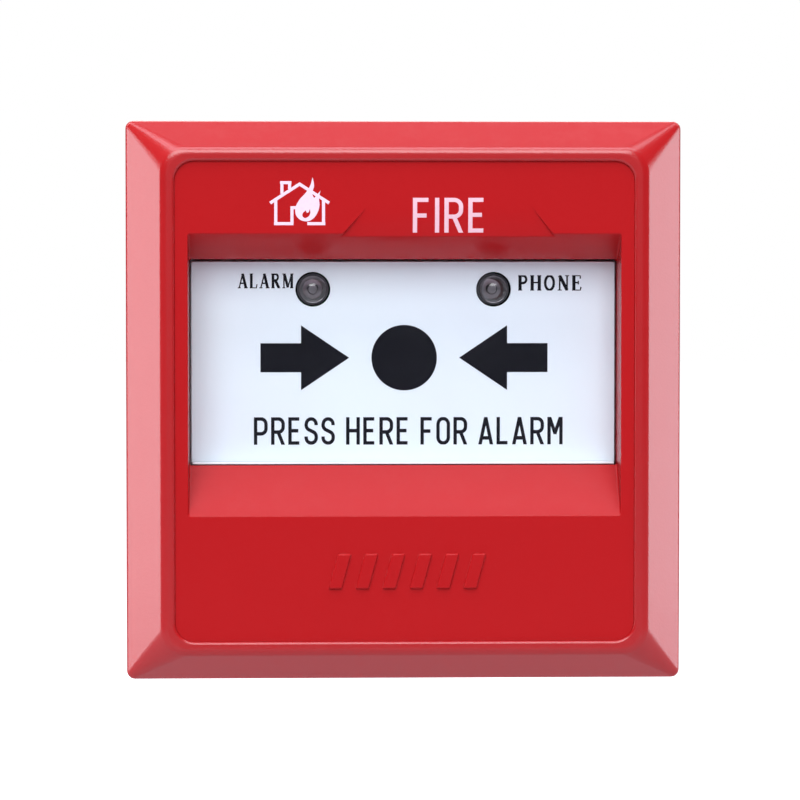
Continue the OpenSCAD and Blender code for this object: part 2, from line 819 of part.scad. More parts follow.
module controller_chip() {
    left = -30;
    chip_w = 12;
    low = -8;
    high = -1;
    legs = 8;
    pitch = 1.4;
    leg = 0.6;
    color([0.1, 0.1, 0.11]) {
        block(left, left + chip_w, board_front + 0.15, board_front + 1.9, low, high);
        for (i = [0:legs - 1], z = [low - 1, high])
            block(left + 0.8 + i * pitch, left + 0.8 + i * pitch + leg,
                board_front, board_front + leg, z, z + 1);
    }
}

module relay() color("white") block(16, 31, board_front, board_front + 5, -16, -8.5);

module bridge_rectifier() {
    low = -20;
    high = -13.5;
    leg = 0.8;
    color([0.1, 0.1, 0.11]) {
        block(-10, -2, board_front + 0.2, board_front + 2.4, low, high);
        for (x = [-9, -3.8], z = [low - 1, high])
            block(x, x + leg, board_front, board_front + leg, z, z + 1);
    }
}

module capacitors() {
    can_z = -17;
    can_r = 3.1;
    base = 3.2;
    base_t = 0.8;
    can_l = 5;
    color("silver") for (x = [-28, -20]) {
        block(x - base, x + base, board_front, board_front + base_t, can_z - base, can_z + base);
        post(x, can_z, can_r, board_front + base_t - 0.1, board_front + can_l);
    }
}

module crystal() color("silver")
    at_depth(board_front) linear_extrude(3.4) translate([-24, 4.5]) rounded(11, 4.4, 2.1);

module chip_resistors() {
    count = 6;
    step = 4;
    first = -2;
    color("black") for (i = [0:count - 1])
        block(first + i * step, first + 1.2 + i * step, board_front, board_front + 0.5, 27, 29);
}

// ---------- indicators ----------

module led(side) {
    lens_r = 2.35;
    foot_r = 2.9;
    foot_back = 29.3;
    foot_t = 1;
    dome_d = 35.5;
    x = side * led_x;
    post(x, led_z, foot_r, foot_back, foot_back + foot_t);
    post(x, led_z, lens_r, foot_back + foot_t - 0.1, dome_d);
    at_depth(dome_d) translate([x, led_z, 0]) difference() {
        sphere(r = lens_r);
        translate([0, 0, -lens_r - 0.6]) cube([6, 6, 2 * lens_r], center = true);
    }
}

module led_alarm() color("whitesmoke", 0.6) led(-1);

module led_phone() color("whitesmoke", 0.6) led(1);

module led_leads() color("silver")
    for (x = [-led_x, led_x], lead = [-1.27, 1.27])
        block(x + lead - 0.25, x + lead + 0.25, 14.2, 29.3, led_z - 0.25, led_z + 0.25);

module led_spacers() color([0.1, 0.1, 0.11])
    for (x = [-led_x, led_x]) difference() {
        post(x, led_z, 2.9, board_front, 29.3);
        post(x, led_z, 2.0, board_front - 1, 30);
    }

module plug_blades() {
    tip = 4.7;
    half_w = 2;
    half_t = 0.4;
    tail_half_w = 0.6;
    color("gold") for (x = terminal_x, side = [-1, 1]) {
        z = side * contact_z;
        block(x - half_w, x + half_w, tip, board_d, z - half_t, z + half_t);
        block(x - tail_half_w, x + tail_half_w, board_d - 0.01, board_front + 0.8, z - half_t, z + half_t);
    }
}

// ---------- phone jack ----------

module jack_body() {
    half_w = 6.3;
    half_d = 6;
    bore_end = -22.3;
    color([0.1, 0.1, 0.11]) difference() {
        block(jack_x - half_w, jack_x + half_w, jack_d - half_d, jack_d + half_d, jack_low, jack_high);
        riser(jack_x, jack_d, jack_bore_r, jack_low - 1, bore_end);
        for (x = [-contact_spread, 0, contact_spread])
            block(jack_x + x - 0.5, jack_x + x + 0.5, jack_d - half_d - 1, jack_d - 4.6, -32, -26);
    }
}

module jack_bush() color("silver") difference() {
    riser(jack_x, jack_d, 4.4, -47.7, jack_low);
    riser(jack_x, jack_d, jack_bore_r, -49, jack_low + 1);
}

module jack_nut() {
    low = -47.9;
    high = -46.35;
    nut_r = 5.7;
    slot = 0.6;
    color("silver") difference() {
        riser(jack_x, jack_d, nut_r, low, high);
        riser(jack_x, jack_d, 4.45, low - 1, high + 1);
        block(jack_x - nut_r - 1, jack_x + nut_r + 1, jack_d - slot, jack_d + slot, low - 1, low + slot);
    }
}

module jack_contacts() {
    half_w = 0.4;
    tail_end = 14;
    pad_d = jack_d - 5.5;
    color("gold") for (x = [-contact_spread, 0, contact_spread]) {
        at_x = jack_x + x;
        block(at_x - half_w, at_x + half_w, tail_end, pad_d + 0.1, -30, -28);
        block(at_x - half_w, at_x + half_w, pad_d, pad_d + 0.7, -31.6, -26.4);
    }
}

back_box();
cable_grommet();
terminal_block_top();
terminal_block_bottom();
block_screws();
terminal_screws();
terminal_clamps();
base_contacts();
retaining_clips();
seal_gasket();
front_frame();
face_cover();
chassis();
chassis_screws();
rear_cover();
rear_cover_screws();
hinge_rod();
press_pane();
legend_card();
press_carrier();
return_springs();
latch_spring();
latch_screw();
reset_barrel();
barrel_clip();
reset_spring();
microswitch_body();
microswitch_lever();
microswitch_plunger();
microswitch_terminals();
circuit_board();
controller_chip();
relay();
bridge_rectifier();
capacitors();
crystal();
chip_resistors();
led_alarm();
led_phone();
led_leads();
led_spacers();
plug_blades();
jack_body();
jack_bush();
jack_nut();
jack_contacts();
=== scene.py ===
import json
import math

import bmesh
import bpy
from mathutils import Matrix, Vector


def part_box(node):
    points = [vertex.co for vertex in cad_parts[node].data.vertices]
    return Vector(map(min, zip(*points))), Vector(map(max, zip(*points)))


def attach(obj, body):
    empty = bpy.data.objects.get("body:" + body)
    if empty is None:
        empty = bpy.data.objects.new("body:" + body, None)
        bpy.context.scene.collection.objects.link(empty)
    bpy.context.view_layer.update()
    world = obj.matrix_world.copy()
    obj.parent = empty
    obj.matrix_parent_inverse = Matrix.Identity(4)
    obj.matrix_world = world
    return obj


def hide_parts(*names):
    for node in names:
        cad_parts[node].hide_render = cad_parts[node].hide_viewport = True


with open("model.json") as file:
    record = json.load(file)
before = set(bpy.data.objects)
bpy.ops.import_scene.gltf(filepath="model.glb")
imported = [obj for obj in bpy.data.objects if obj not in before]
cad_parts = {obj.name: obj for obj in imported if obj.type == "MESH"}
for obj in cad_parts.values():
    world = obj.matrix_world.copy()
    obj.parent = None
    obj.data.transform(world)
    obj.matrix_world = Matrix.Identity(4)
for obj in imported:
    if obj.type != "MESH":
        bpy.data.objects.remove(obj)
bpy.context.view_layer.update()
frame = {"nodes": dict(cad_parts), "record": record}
mm = 0.001

print("stage: frame loaded")


# camera and light

camera = {
    "distance": 600 * mm,       # lens to the frame's front edge
    "shownWidth": 137.7 * mm,   # width of the picture at that edge
    "turn": -1.9,               # degrees to the left of straight on
    "lift": 2.2,                # degrees above straight on
    "aim": (-0.64 * mm, -38.5 * mm, 0.07 * mm),
    "sensor": 36,
    "clip": (0.01, 30),
}


def directionOf(bearing, height):
    # from the face towards a bearing and a height, both in degrees
    turn, lift = math.radians(bearing), math.radians(height)
    return Vector((math.sin(turn) * math.cos(lift), -math.cos(turn) * math.cos(lift), math.sin(lift)))


def makeCamera():
    data = bpy.data.cameras.new("faceCamera")
    data.sensor_width = camera["sensor"]
    data.lens = data.sensor_width * camera["distance"] / camera["shownWidth"]
    data.clip_start, data.clip_end = camera["clip"]
    lens = bpy.data.objects.new("faceCamera", data)
    bpy.context.scene.collection.objects.link(lens)
    away = directionOf(camera["turn"], camera["lift"])
    lens.location = Vector(camera["aim"]) + away * camera["distance"]
    lens.rotation_euler = away.to_track_quat("Z", "Y").to_euler()
    bpy.context.scene.camera = lens


# each box: bearing and height in degrees seen from the face, distance, width and height in metres,
# radiance and tint
softBoxes = {
    "leftBox": (-93, 2, 0.8, (0.36, 0.55), 5.6, (1.0, 0.98, 1.04)),
    "rightBox": (97, 2, 0.8, (0.36, 0.55), 5.4, (0.97, 0.98, 1.06)),
    "cornerLeft": (-101, 44, 0.8, (0.3, 0.4), 7.0, (1.0, 0.99, 1.0)),
    "cornerRight": (104, 44, 0.8, (0.3, 0.3), 3.5, (1.0, 0.99, 1.0)),
    "highBox": (-8, 42, 2.2, (2.0, 1.0), 8.3, (0.99, 0.99, 1.03)),
    "rampBox": (0, 74, 1.7, (2.2, 0.7), 5.6, (1.0, 0.95, 1.06)),
    "topBox": (0, 107, 1.7, (2.2, 0.7), 0.8, (1.0, 0.94, 1.06)),
    "fillBox": (0, 14, 1.1, (1.0, 0.5), 0.5, (0.95, 0.97, 1.05)),
    "rearBox": (175, 35, 1.1, (0.9, 0.9), 3.0, (1.0, 1.0, 1.0)),
}


def makeLights():
    for name, (bearing, height, far, size, radiance, colour) in softBoxes.items():
        data = bpy.data.lights.new(name, "AREA")
        data.shape = "RECTANGLE"
        data.size, data.size_y = size
        data.energy = radiance * math.pi * data.size * data.size_y
        data.color = colour
        light = bpy.data.objects.new(name, data)
        bpy.context.scene.collection.objects.link(light)
        away = directionOf(bearing, height)
        light.location = away * far
        light.rotation_euler = away.to_track_quat("Z", "Y").to_euler()
        light.visible_camera = False


room = {
    "seen": (1, 1, 1, 1),              # what the camera sees behind the object
    "around": (0.94, 0.96, 1.0, 1),    # what lights it
    "aroundStrength": 0.06,
}


def makeWorld():
    world = bpy.data.worlds.new("studio")
    world.use_nodes = True
    tree = world.node_tree
    tree.nodes.clear()
    rays = tree.nodes.new("ShaderNodeLightPath")
    seen = tree.nodes.new("ShaderNodeBackground")
    seen.inputs["Color"].default_value = room["seen"]
    around = tree.nodes.new("ShaderNodeBackground")
    around.inputs["Color"].default_value = room["around"]
    around.inputs["Strength"].default_value = room["aroundStrength"]
    blend = tree.nodes.new("ShaderNodeMixShader")
    output = tree.nodes.new("ShaderNodeOutputWorld")
    tree.links.new(rays.outputs["Is Camera Ray"], blend.inputs["Fac"])
    tree.links.new(around.outputs["Background"], blend.inputs[1])
    tree.links.new(seen.outputs["Background"], blend.inputs[2])
    tree.links.new(blend.outputs["Shader"], output.inputs["Surface"])
    bpy.context.scene.world = world
    bpy.context.scene.view_settings.view_transform = "Standard"


paleFloor = {
    "reach": 6,
    "level": -0.16,
    "colour": (0.46, 0.42, 0.45, 1),
    "roughness": 0.8,
    "glow": 1.0,            # for the camera only, so that it looks as pale as paper
}


def makeFloor():
    f = paleFloor
    bm = bmesh.new()
    bmesh.ops.create_grid(bm, x_segments=2, y_segments=2, size=f["reach"])
    bmesh.ops.translate(bm, vec=(0, 0, f["level"]), verts=bm.verts)
    mesh = bpy.data.meshes.new("paleFloor")
    bm.to_mesh(mesh)
    bm.free()
    floor = bpy.data.objects.new("paleFloor", mesh)
    bpy.context.scene.collection.objects.link(floor)
    paint = bpy.data.materials.new("floorPaint")
    paint.use_nodes = True
    tree = paint.node_tree
    shader = tree.nodes["Principled BSDF"]
    shader.inputs["Base Color"].default_value = f["colour"]
    shader.inputs["Roughness"].default_value = f["roughness"]
    shader.inputs["Emission Color"].default_value = (1, 1, 1, 1)
    rays = tree.nodes.new("ShaderNodeLightPath")
    glow = tree.nodes.new("ShaderNodeMath")
    glow.operation = "MULTIPLY"
    glow.inputs[1].default_value = f["glow"]
    tree.links.new(rays.outputs["Is Camera Ray"], glow.inputs[0])
    tree.links.new(glow.outputs[0], shader.inputs["Emission Strength"])
    mesh.materials.append(paint)


makeCamera()
makeLights()
makeWorld()
makeFloor()
print("stage: camera, lights and floor")


# node groups that several finishes share

def makeGroup(name, inputs, outputs):
    group = bpy.data.node_groups.new(name, "ShaderNodeTree")
    for label, kind, value in inputs:
        socket = group.interface.new_socket(name=label, in_out="INPUT", socket_type="NodeSocket" + kind)
        socket.default_value = value
    for label, kind in outputs:
        group.interface.new_socket(name=label, in_out="OUTPUT", socket_type="NodeSocket" + kind)
    return group, group.nodes.new("NodeGroupInput"), group.nodes.new("NodeGroupOutput")


def mathOf(tree, operation, first, second=None, third=None):
    node = tree.nodes.new("ShaderNodeMath")
    node.operation = operation
    for socket, value in zip(node.inputs, (first, second, third)):
        if isinstance(value, bpy.types.NodeSocket):
            tree.links.new(value, socket)
        elif value is not None:
            socket.default_value = value
    return node.outputs[0]


def noiseOf(tree, vector, scale, detail=2.0, roughness=0.5, distortion=0.0):
    node = tree.nodes.new("ShaderNodeTexNoise")
    tree.links.new(vector, node.inputs["Vector"])
    if isinstance(scale, bpy.types.NodeSocket):
        tree.links.new(scale, node.inputs["Scale"])
    else:
        node.inputs["Scale"].default_value = scale
    node.inputs["Detail"].default_value = detail
    node.inputs["Roughness"].default_value = roughness
    node.inputs["Distortion"].default_value = distortion
    return node.outputs["Fac"]


def spread(tree, value, low, high, toLow=0.0, toHigh=1.0):
    node = tree.nodes.new("ShaderNodeMapRange")
    node.interpolation_type = "SMOOTHSTEP"
    tree.links.new(value, node.inputs["Value"])
    for label, number in (("From Min", low), ("From Max", high), ("To Min", toLow), ("To Max", toHigh)):
        node.inputs[label].default_value = number
    return node.outputs["Result"]


def tint(tree, amount, base, other, mode="MIX"):
    node = tree.nodes.new("ShaderNodeMix")
    node.data_type = "RGBA"
    node.blend_type = mode
    for label, value in ((0, amount), (6, base), (7, other)):
        if isinstance(value, bpy.types.NodeSocket):
            tree.links.new(value, node.inputs[label])
        else:
            node.inputs[label].default_value = value
    return node.outputs[2]


mouldedLook = {
    "edgeRadius": 0.25 * mm,
    "patchScale": 45.0,
    "scuffScale": 900.0,
    "dustScale": 260.0,
    "glossScale": 120.0,
    "dustColour": (0.62, 0.58, 0.54, 1),
    "dustRoughens": 0.5,
    "wearRoughens": 0.15,
}


def makeMouldedFinish():
    # fine moulding texture, uneven gloss, rubbed edges and a little dust on what faces up
    look = mouldedLook
    group, given, result = makeGroup("mouldedFinish", [
        ("Colour", "Color", (0.5, 0.5, 0.5, 1)), ("Colour Spread", "Float", 0.05),
        ("Grain Scale", "Float", 2600.0), ("Roughness", "Float", 0.35), ("Gloss Spread", "Float", 0.06),
        ("Wear", "Float", 0.2), ("Worn Colour", "Color", (0.8, 0.8, 0.8, 1)), ("Dust", "Float", 0.05)],
        [("Colour", "Color"), ("Roughness", "Float"), ("Height", "Float")])
    place = group.nodes.new("ShaderNodeTexCoord").outputs["Object"]
    geometry = group.nodes.new("ShaderNodeNewGeometry")
    edge = group.nodes.new("ShaderNodeBevel")
    edge.samples = 4
    edge.inputs["Radius"].default_value = look["edgeRadius"]
    turned = group.nodes.new("ShaderNodeVectorMath")
    turned.operation = "DOT_PRODUCT"
    group.links.new(edge.outputs["Normal"], turned.inputs[0])
    group.links.new(geometry.outputs["Normal"], turned.inputs[1])
    patches = noiseOf(group, place, look["patchScale"], 4.0, 0.6)
    scuffs = noiseOf(group, place, look["scuffScale"], 3.0, 0.7)
    grain = noiseOf(group, place, given.outputs["Grain Scale"], 2.0, 0.55)
    rubbed = spread(group, mathOf(group, "SUBTRACT", 1.0, turned.outputs["Value"]), 0.02, 0.22)
    rubbed = mathOf(group, "MULTIPLY", rubbed, spread(group, scuffs, 0.42, 0.62))
    rubbed = mathOf(group, "MULTIPLY", rubbed, given.outputs["Wear"])
    patchy = mathOf(group, "SUBTRACT", patches, 0.5)
    shade = mathOf(group, "MULTIPLY", patchy, given.outputs["Colour Spread"])
    shade = mathOf(group, "ADD", shade, 1.0)
    colour = group.nodes.new("ShaderNodeVectorMath")
    colour.operation = "SCALE"
    group.links.new(given.outputs["Colour"], colour.inputs[0])
    group.links.new(shade, colour.inputs["Scale"])
    worn = tint(group, rubbed, colour.outputs["Vector"], given.outputs["Worn Colour"])
    split = group.nodes.new("ShaderNodeSeparateXYZ")
    group.links.new(geometry.outputs["Normal"], split.inputs[0])
    settled = mathOf(group, "MULTIPLY", spread(group, split.outputs["Z"], 0.35, 0.95),
                    spread(group, noiseOf(group, place, look["dustScale"], 5.0, 0.65), 0.40, 0.72))
    settled = mathOf(group, "MULTIPLY", settled, given.outputs["Dust"])
    dusty = tint(group, settled, worn, look["dustColour"])
    uneven = mathOf(group, "SUBTRACT", noiseOf(group, place, look["glossScale"], 4.0, 0.6, 0.6), 0.5)
    gloss = mathOf(group, "MULTIPLY", uneven, given.outputs["Gloss Spread"])
    rough = mathOf(group, "ADD", given.outputs["Roughness"], gloss)
    rough = mathOf(group, "ADD", rough, mathOf(group, "MULTIPLY", settled, look["dustRoughens"]))
    rough = mathOf(group, "ADD", rough, mathOf(group, "MULTIPLY", rubbed, look["wearRoughens"]))
    group.links.new(dusty, result.inputs["Colour"])
    group.links.new(rough, result.inputs["Roughness"])
    group.links.new(grain, result.inputs["Height"])
    return group


def makeMetalFinish():
    # drawn lines along one axis and blotches of tarnish
    group, given, result = makeGroup("metalFinish", [
        ("Colour", "Color", (0.6, 0.6, 0.6, 1)), ("Tarnish Colour", "Color", (0.3, 0.28, 0.25, 1)),
        ("Tarnish", "Float", 0.3), ("Roughness", "Float", 0.3), ("Line Scale", "Float", 900.0)],
        [("Colour", "Color"), ("Roughness", "Float"), ("Height", "Float")])
    place = group.nodes.new("ShaderNodeTexCoord").outputs["Object"]
    drawn = group.nodes.new("ShaderNodeMapping")
    drawn.inputs["Scale"].default_value = (1.0, 0.08, 1.0)
    group.links.new(place, drawn.inputs["Vector"])
    lines = noiseOf(group, drawn.outputs["Vector"], given.outputs["Line Scale"], 4.0, 0.7)
    blotches = spread(group, noiseOf(group, place, 380.0, 5.0, 0.65), 0.45, 0.7)
    stained = mathOf(group, "MULTIPLY", blotches, given.outputs["Tarnish"])
    colour = tint(group, stained, given.outputs["Colour"], given.outputs["Tarnish Colour"])
    rough = mathOf(group, "ADD", given.outputs["Roughness"],
                  mathOf(group, "MULTIPLY", mathOf(group, "SUBTRACT", lines, 0.5), 0.25))
    rough = mathOf(group, "ADD", rough, mathOf(group, "MULTIPLY", stained, 0.3))
    group.links.new(colour, result.inputs["Colour"])
    group.links.new(rough, result.inputs["Roughness"])
    group.links.new(lines, result.inputs["Height"])
    return group


mouldedFinish = makeMouldedFinish()
metalFinish = makeMetalFinish()


# finishes

def blankMaterial(name):
    material = bpy.data.materials.new(name)
    material.use_nodes = True
    return material, material.node_tree, material.node_tree.nodes["Principled BSDF"]


def addBump(tree, shader, height, strength, distance):
    bump = tree.nodes.new("ShaderNodeBump")
    bump.inputs["Strength"].default_value = strength
    bump.inputs["Distance"].default_value = distance
    tree.links.new(height, bump.inputs["Height"])
    tree.links.new(bump.outputs["Normal"], shader.inputs["Normal"])


def mouldedPlastic(name, colour, rough, grain=0.02, grainScale=2600.0, colourSpread=0.06,
                   glossSpread=0.08, wear=0.15, wornColour=(0.8, 0.6, 0.6, 1), dust=0.05, specular=0.5):
    material, tree, shader = blankMaterial(name)
    finish = tree.nodes.new("ShaderNodeGroup")
    finish.node_tree = mouldedFinish
    for label, value in (("Colour", colour), ("Colour Spread", colourSpread), ("Grain Scale", grainScale),
                         ("Roughness", rough), ("Gloss Spread", glossSpread), ("Wear", wear),
                         ("Worn Colour", wornColour), ("Dust", dust)):
        finish.inputs[label].default_value = value
    shader.inputs["Specular IOR Level"].default_value = specular
    tree.links.new(finish.outputs["Colour"], shader.inputs["Base Color"])
    tree.links.new(finish.outputs["Roughness"], shader.inputs["Roughness"])
    addBump(tree, shader, finish.outputs["Height"], 1.0, grain * mm)
    return material


def metal(name, colour, rough, tarnish=0.25, tarnishColour=(0.25, 0.23, 0.2, 1), lineScale=1500.0,
          depth=0.004):
    material, tree, shader = blankMaterial(name)
    finish = tree.nodes.new("ShaderNodeGroup")
    finish.node_tree = metalFinish
    for label, value in (("Colour", colour), ("Tarnish Colour", tarnishColour), ("Tarnish", tarnish),
                         ("Roughness", rough), ("Line Scale", lineScale)):
        finish.inputs[label].default_value = value
    shader.inputs["Metallic"].default_value = 1.0
    tree.links.new(finish.outputs["Colour"], shader.inputs["Base Color"])
    tree.links.new(finish.outputs["Roughness"], shader.inputs["Roughness"])
    addBump(tree, shader, finish.outputs["Height"], 1.0, depth * mm)
    return material


def printedCard(name, colour):
    material, tree, shader = blankMaterial(name)
    place = tree.nodes.new("ShaderNodeTexCoord").outputs["Object"]
    fibres = noiseOf(tree, place, 1400.0, 5.0, 0.7)
    cloud = noiseOf(tree, place, 30.0, 3.0, 0.5)
    faded = tint(tree, spread(tree, cloud, 0.3, 0.75, 0.0, 0.25), colour, (0.68, 0.74, 0.90, 1))
    tree.links.new(faded, shader.inputs["Base Color"])
    tree.links.new(spread(tree, fibres, 0.3, 0.7, 0.42, 0.55), shader.inputs["Roughness"])
    addBump(tree, shader, fibres, 0.4, 0.01 * mm)
    return material


def printingInk(name, colour, other):
    material, tree, shader = blankMaterial(name)
    place = tree.nodes.new("ShaderNodeTexCoord").outputs["Object"]
    speck = noiseOf(tree, place, 1800.0, 4.0, 0.7)
    mottled = tint(tree, spread(tree, speck, 0.4, 0.8, 0.0, 0.35), colour, other)
    tree.links.new(mottled, shader.inputs["Base Color"])
    tree.links.new(spread(tree, speck, 0.3, 0.7, 0.5, 0.65), shader.inputs["Roughness"])
    shader.inputs["Specular IOR Level"].default_value = 0.15
    addBump(tree, shader, speck, 0.3, 0.008 * mm)
    return material


def clearPlastic(name, colour, alpha, rough):
    material, tree, shader = blankMaterial(name)
    place = tree.nodes.new("ShaderNodeTexCoord").outputs["Object"]
    smear = noiseOf(tree, place, 70.0, 5.0, 0.65, 1.2)
    shader.inputs["Base Color"].default_value = colour
    shader.inputs["Alpha"].default_value = alpha
    shader.inputs["IOR"].default_value = 2.2          # stronger, because Alpha thins the gloss as well
    shader.inputs["Specular IOR Level"].default_value = 1.0
    tree.links.new(spread(tree, smear, 0.35, 0.75, rough, rough + 0.12), shader.inputs["Roughness"])
    addBump(tree, shader, smear, 0.15, 0.02 * mm)
    return material


def lampEpoxy(name, colour):
    material, tree, shader = blankMaterial(name)
    place = tree.nodes.new("ShaderNodeTexCoord").outputs["Object"]
    haze = noiseOf(tree, place, 700.0, 4.0, 0.6)
    shader.inputs["Base Color"].default_value = colour
    shader.inputs["Transmission Weight"].default_value = 1.0
    shader.inputs["IOR"].default_value = 1.52
    tree.links.new(spread(tree, haze, 0.3, 0.8, 0.02, 0.12), shader.inputs["Roughness"])
    addBump(tree, shader, haze, 0.1, 0.01 * mm)
    return material


def boardLacquer(name):
    material, tree, shader = blankMaterial(name)
    place = tree.nodes.new("ShaderNodeTexCoord").outputs["Object"]
    turned = tree.nodes.new("ShaderNodeMapping")
    turned.inputs["Rotation"].default_value = (math.radians(90), 0, 0)
    tree.links.new(place, turned.inputs["Vector"])
    tracks = tree.nodes.new("ShaderNodeTexBrick")
    tracks.offset = 0.37
    tracks.inputs["Scale"].default_value = 210.0
    tracks.inputs["Mortar Size"].default_value = 0.035
    tracks.inputs["Color1"].default_value = (0.006, 0.10, 0.040, 1)
    tracks.inputs["Color2"].default_value = (0.008, 0.12, 0.048, 1)
    tracks.inputs["Mortar"].default_value = (0.02, 0.22, 0.08, 1)
    tree.links.new(turned.outputs["Vector"], tracks.inputs["Vector"])
    tree.links.new(tracks.outputs["Color"], shader.inputs["Base Color"])
    weave = noiseOf(tree, place, 1500.0, 3.0, 0.6)
    tree.links.new(spread(tree, weave, 0.3, 0.7, 0.22, 0.34), shader.inputs["Roughness"])
    addBump(tree, shader, tracks.outputs["Fac"], 0.5, 0.02 * mm)
    return material


finishes = {
    "frame_plastic": mouldedPlastic("frameRed", (0.36, 0.007, 0.009, 1), 0.24, glossSpread=0.03, dust=0.01,
                                    colourSpread=0.04, wear=0.05, specular=0.52),
    "cover_plastic": mouldedPlastic("coverRed", (0.385, 0.008, 0.010, 1), 0.25, glossSpread=0.03, dust=0.01,
                                    colourSpread=0.04, wear=0.04, specular=0.12),
    "box_plastic": mouldedPlastic("boxRed", (0.40, 0.014, 0.016, 1), 0.50, grain=0.03, grainScale=1500.0,
                                  dust=0.03),
    "dark_plastic": mouldedPlastic("darkNylon", (0.035, 0.035, 0.04, 1), 0.5, grain=0.05, grainScale=1700.0,
                                   wornColour=(0.3, 0.3, 0.32, 1), dust=0.10),
    "black_plastic": mouldedPlastic("blackNylon", (0.012, 0.012, 0.014, 1), 0.42, grain=0.04,
                                    grainScale=2000.0, wornColour=(0.22, 0.22, 0.24, 1)),
    "block_plastic": mouldedPlastic("blockGrey", (0.11, 0.115, 0.125, 1), 0.48, grain=0.05,
                                    grainScale=1700.0, wornColour=(0.4, 0.4, 0.42, 1), dust=0.12),
    "white_plastic": mouldedPlastic("carrierWhite", (0.84, 0.86, 0.90, 1), 0.45, grain=0.03,
                                    wornColour=(0.55, 0.57, 0.62, 1), dust=0.08),
    "black_rubber": mouldedPlastic("sealRubber", (0.018, 0.018, 0.019, 1), 0.75, grain=0.08,
                                   grainScale=900.0, colourSpread=0.3, wornColour=(0.12, 0.12, 0.12, 1),
                                   dust=0.25, specular=0.3),
    "white_card": printedCard("cardWhite", (0.80, 0.94, 1.0, 1)),
    "clear_acrylic": clearPlastic("paneAcrylic", (0.006, 0.007, 0.012, 1), 0.055, 0.03),
    "clear_epoxy": lampEpoxy("lampEpoxy", (0.36, 0.35, 0.40, 1)),
    "plated_steel": metal("zincPlate", (0.62, 0.62, 0.60, 1), 0.32),
    "spring_steel": metal("springWire", (0.50, 0.50, 0.52, 1), 0.25, tarnish=0.15),
    "aluminium_can": metal("canAluminium", (0.78, 0.78, 0.79, 1), 0.28, tarnish=0.1),
    "brass": metal("contactBrass", (0.72, 0.50, 0.20, 1), 0.28, tarnish=0.35,
                   tarnishColour=(0.35, 0.20, 0.08, 1)),
    "board_laminate": boardLacquer("boardGreen"),
}
inkDark = printingInk("legendInk", (0.002, 0.003, 0.007, 1), (0.008, 0.010, 0.016, 1))
inkPale = printingInk("paleInk", (0.74, 0.50, 0.57, 1), (0.66, 0.40, 0.46, 1))
inkWhite = printingInk("pictogramInk", (0.74, 0.62, 0.74, 1), (0.62, 0.46, 0.58, 1))
print("stage: finishes")


# building helpers

def towardsFace(depth, x=0.0, z=0.0):
    # stands a flat shape up: its own Z then points out of the face
    return Matrix.Translation((x, -depth, z)) @ Matrix.Rotation(math.radians(90), 4, "X")


def freshVerts(bm, known):
    return [v for v in bm.verts if v not in known]


def roundedRing(bm, width, height, radius, depth, middleZ=0.0, steps=8):
    known = set(bm.verts)
    bmesh.ops.create_grid(bm, x_segments=1, y_segments=1, size=0.5)
    place = towardsFace(depth, 0, middleZ) @ Matrix.Diagonal((width, height, 1, 1))
    bmesh.ops.transform(bm, matrix=place, verts=freshVerts(bm, known))
    bmesh.ops.bevel(bm, geom=freshVerts(bm, known), offset=radius, segments=steps, profile=0.5,
                    affect="VERTICES", material=-1)
    fresh = freshVerts(bm, known)
    edges = list({e for v in fresh for e in v.link_edges})
    faces = list({f for v in fresh for f in v.link_faces})
    bmesh.ops.delete(bm, geom=faces, context="FACES_ONLY")
    return edges


def reshaped(verts, ring, nextRing):
    # carries a ring's points over to the next ring, corner by corner
    width, height, radius, depth, middle = (*ring, 0.0)[:5]
    newWidth, newHeight, newRadius, newDepth, newMiddle = (*nextRing, 0.0)[:5]
    for v in verts:
        out = abs(v.co.x) - (width / 2 - radius)
        up = abs(v.co.z - middle) - (height / 2 - radius)
        x = newWidth / 2 - newRadius + out * newRadius / radius
        z = newHeight / 2 - newRadius + up * newRadius / radius
        v.co = (math.copysign(x, v.co.x), -newDepth, newMiddle + math.copysign(z, v.co.z - middle))


def closedShell(bm, rings):
    loop = roundedRing(bm, *rings[0])
    for ring, nextRing in zip(rings, rings[1:] + rings[:1]):
        grown = bmesh.ops.extrude_edge_only(bm, edges=loop)["geom"]
        loop = [g for g in grown if isinstance(g, bmesh.types.BMEdge)]
        reshaped([g for g in grown if isinstance(g, bmesh.types.BMVert)], ring, nextRing)
    bmesh.ops.remove_doubles(bm, verts=bm.verts, dist=0.001 * mm)


def roundEdges(bm, offset, steps, pick, sharper=18.0):
    bm.normal_update()
    chosen = [e for e in bm.edges if len(e.link_faces) == 2
              and e.calc_face_angle(0) > math.radians(sharper) and pick(e)]
    if chosen:
        bmesh.ops.bevel(bm, geom=chosen, offset=offset, segments=steps, profile=0.5, affect="EDGES",
                        material=-1, clamp_overlap=True)


def nearDepth(edge, depth, slack=0.02 * mm):
    return all(abs(v.co.y + depth) < slack for v in edge.verts)


def box(bm, x0, x1, back, front, z0, z1):
    known = set(bm.verts)
    bmesh.ops.create_cube(bm, size=1)
    size = Matrix.Diagonal((x1 - x0, front - back, z1 - z0, 1))
    middle = Matrix.Translation(((x0 + x1) / 2, -(back + front) / 2, (z0 + z1) / 2))
    bmesh.ops.transform(bm, matrix=middle @ size, verts=freshVerts(bm, known))
    return freshVerts(bm, known)


def rod(bm, radius, length, place, steps=48):
    known = set(bm.verts)
    bmesh.ops.create_cone(bm, cap_ends=True, segments=steps, radius1=radius, radius2=radius, depth=length)
    bmesh.ops.transform(bm, matrix=place, verts=freshVerts(bm, known))


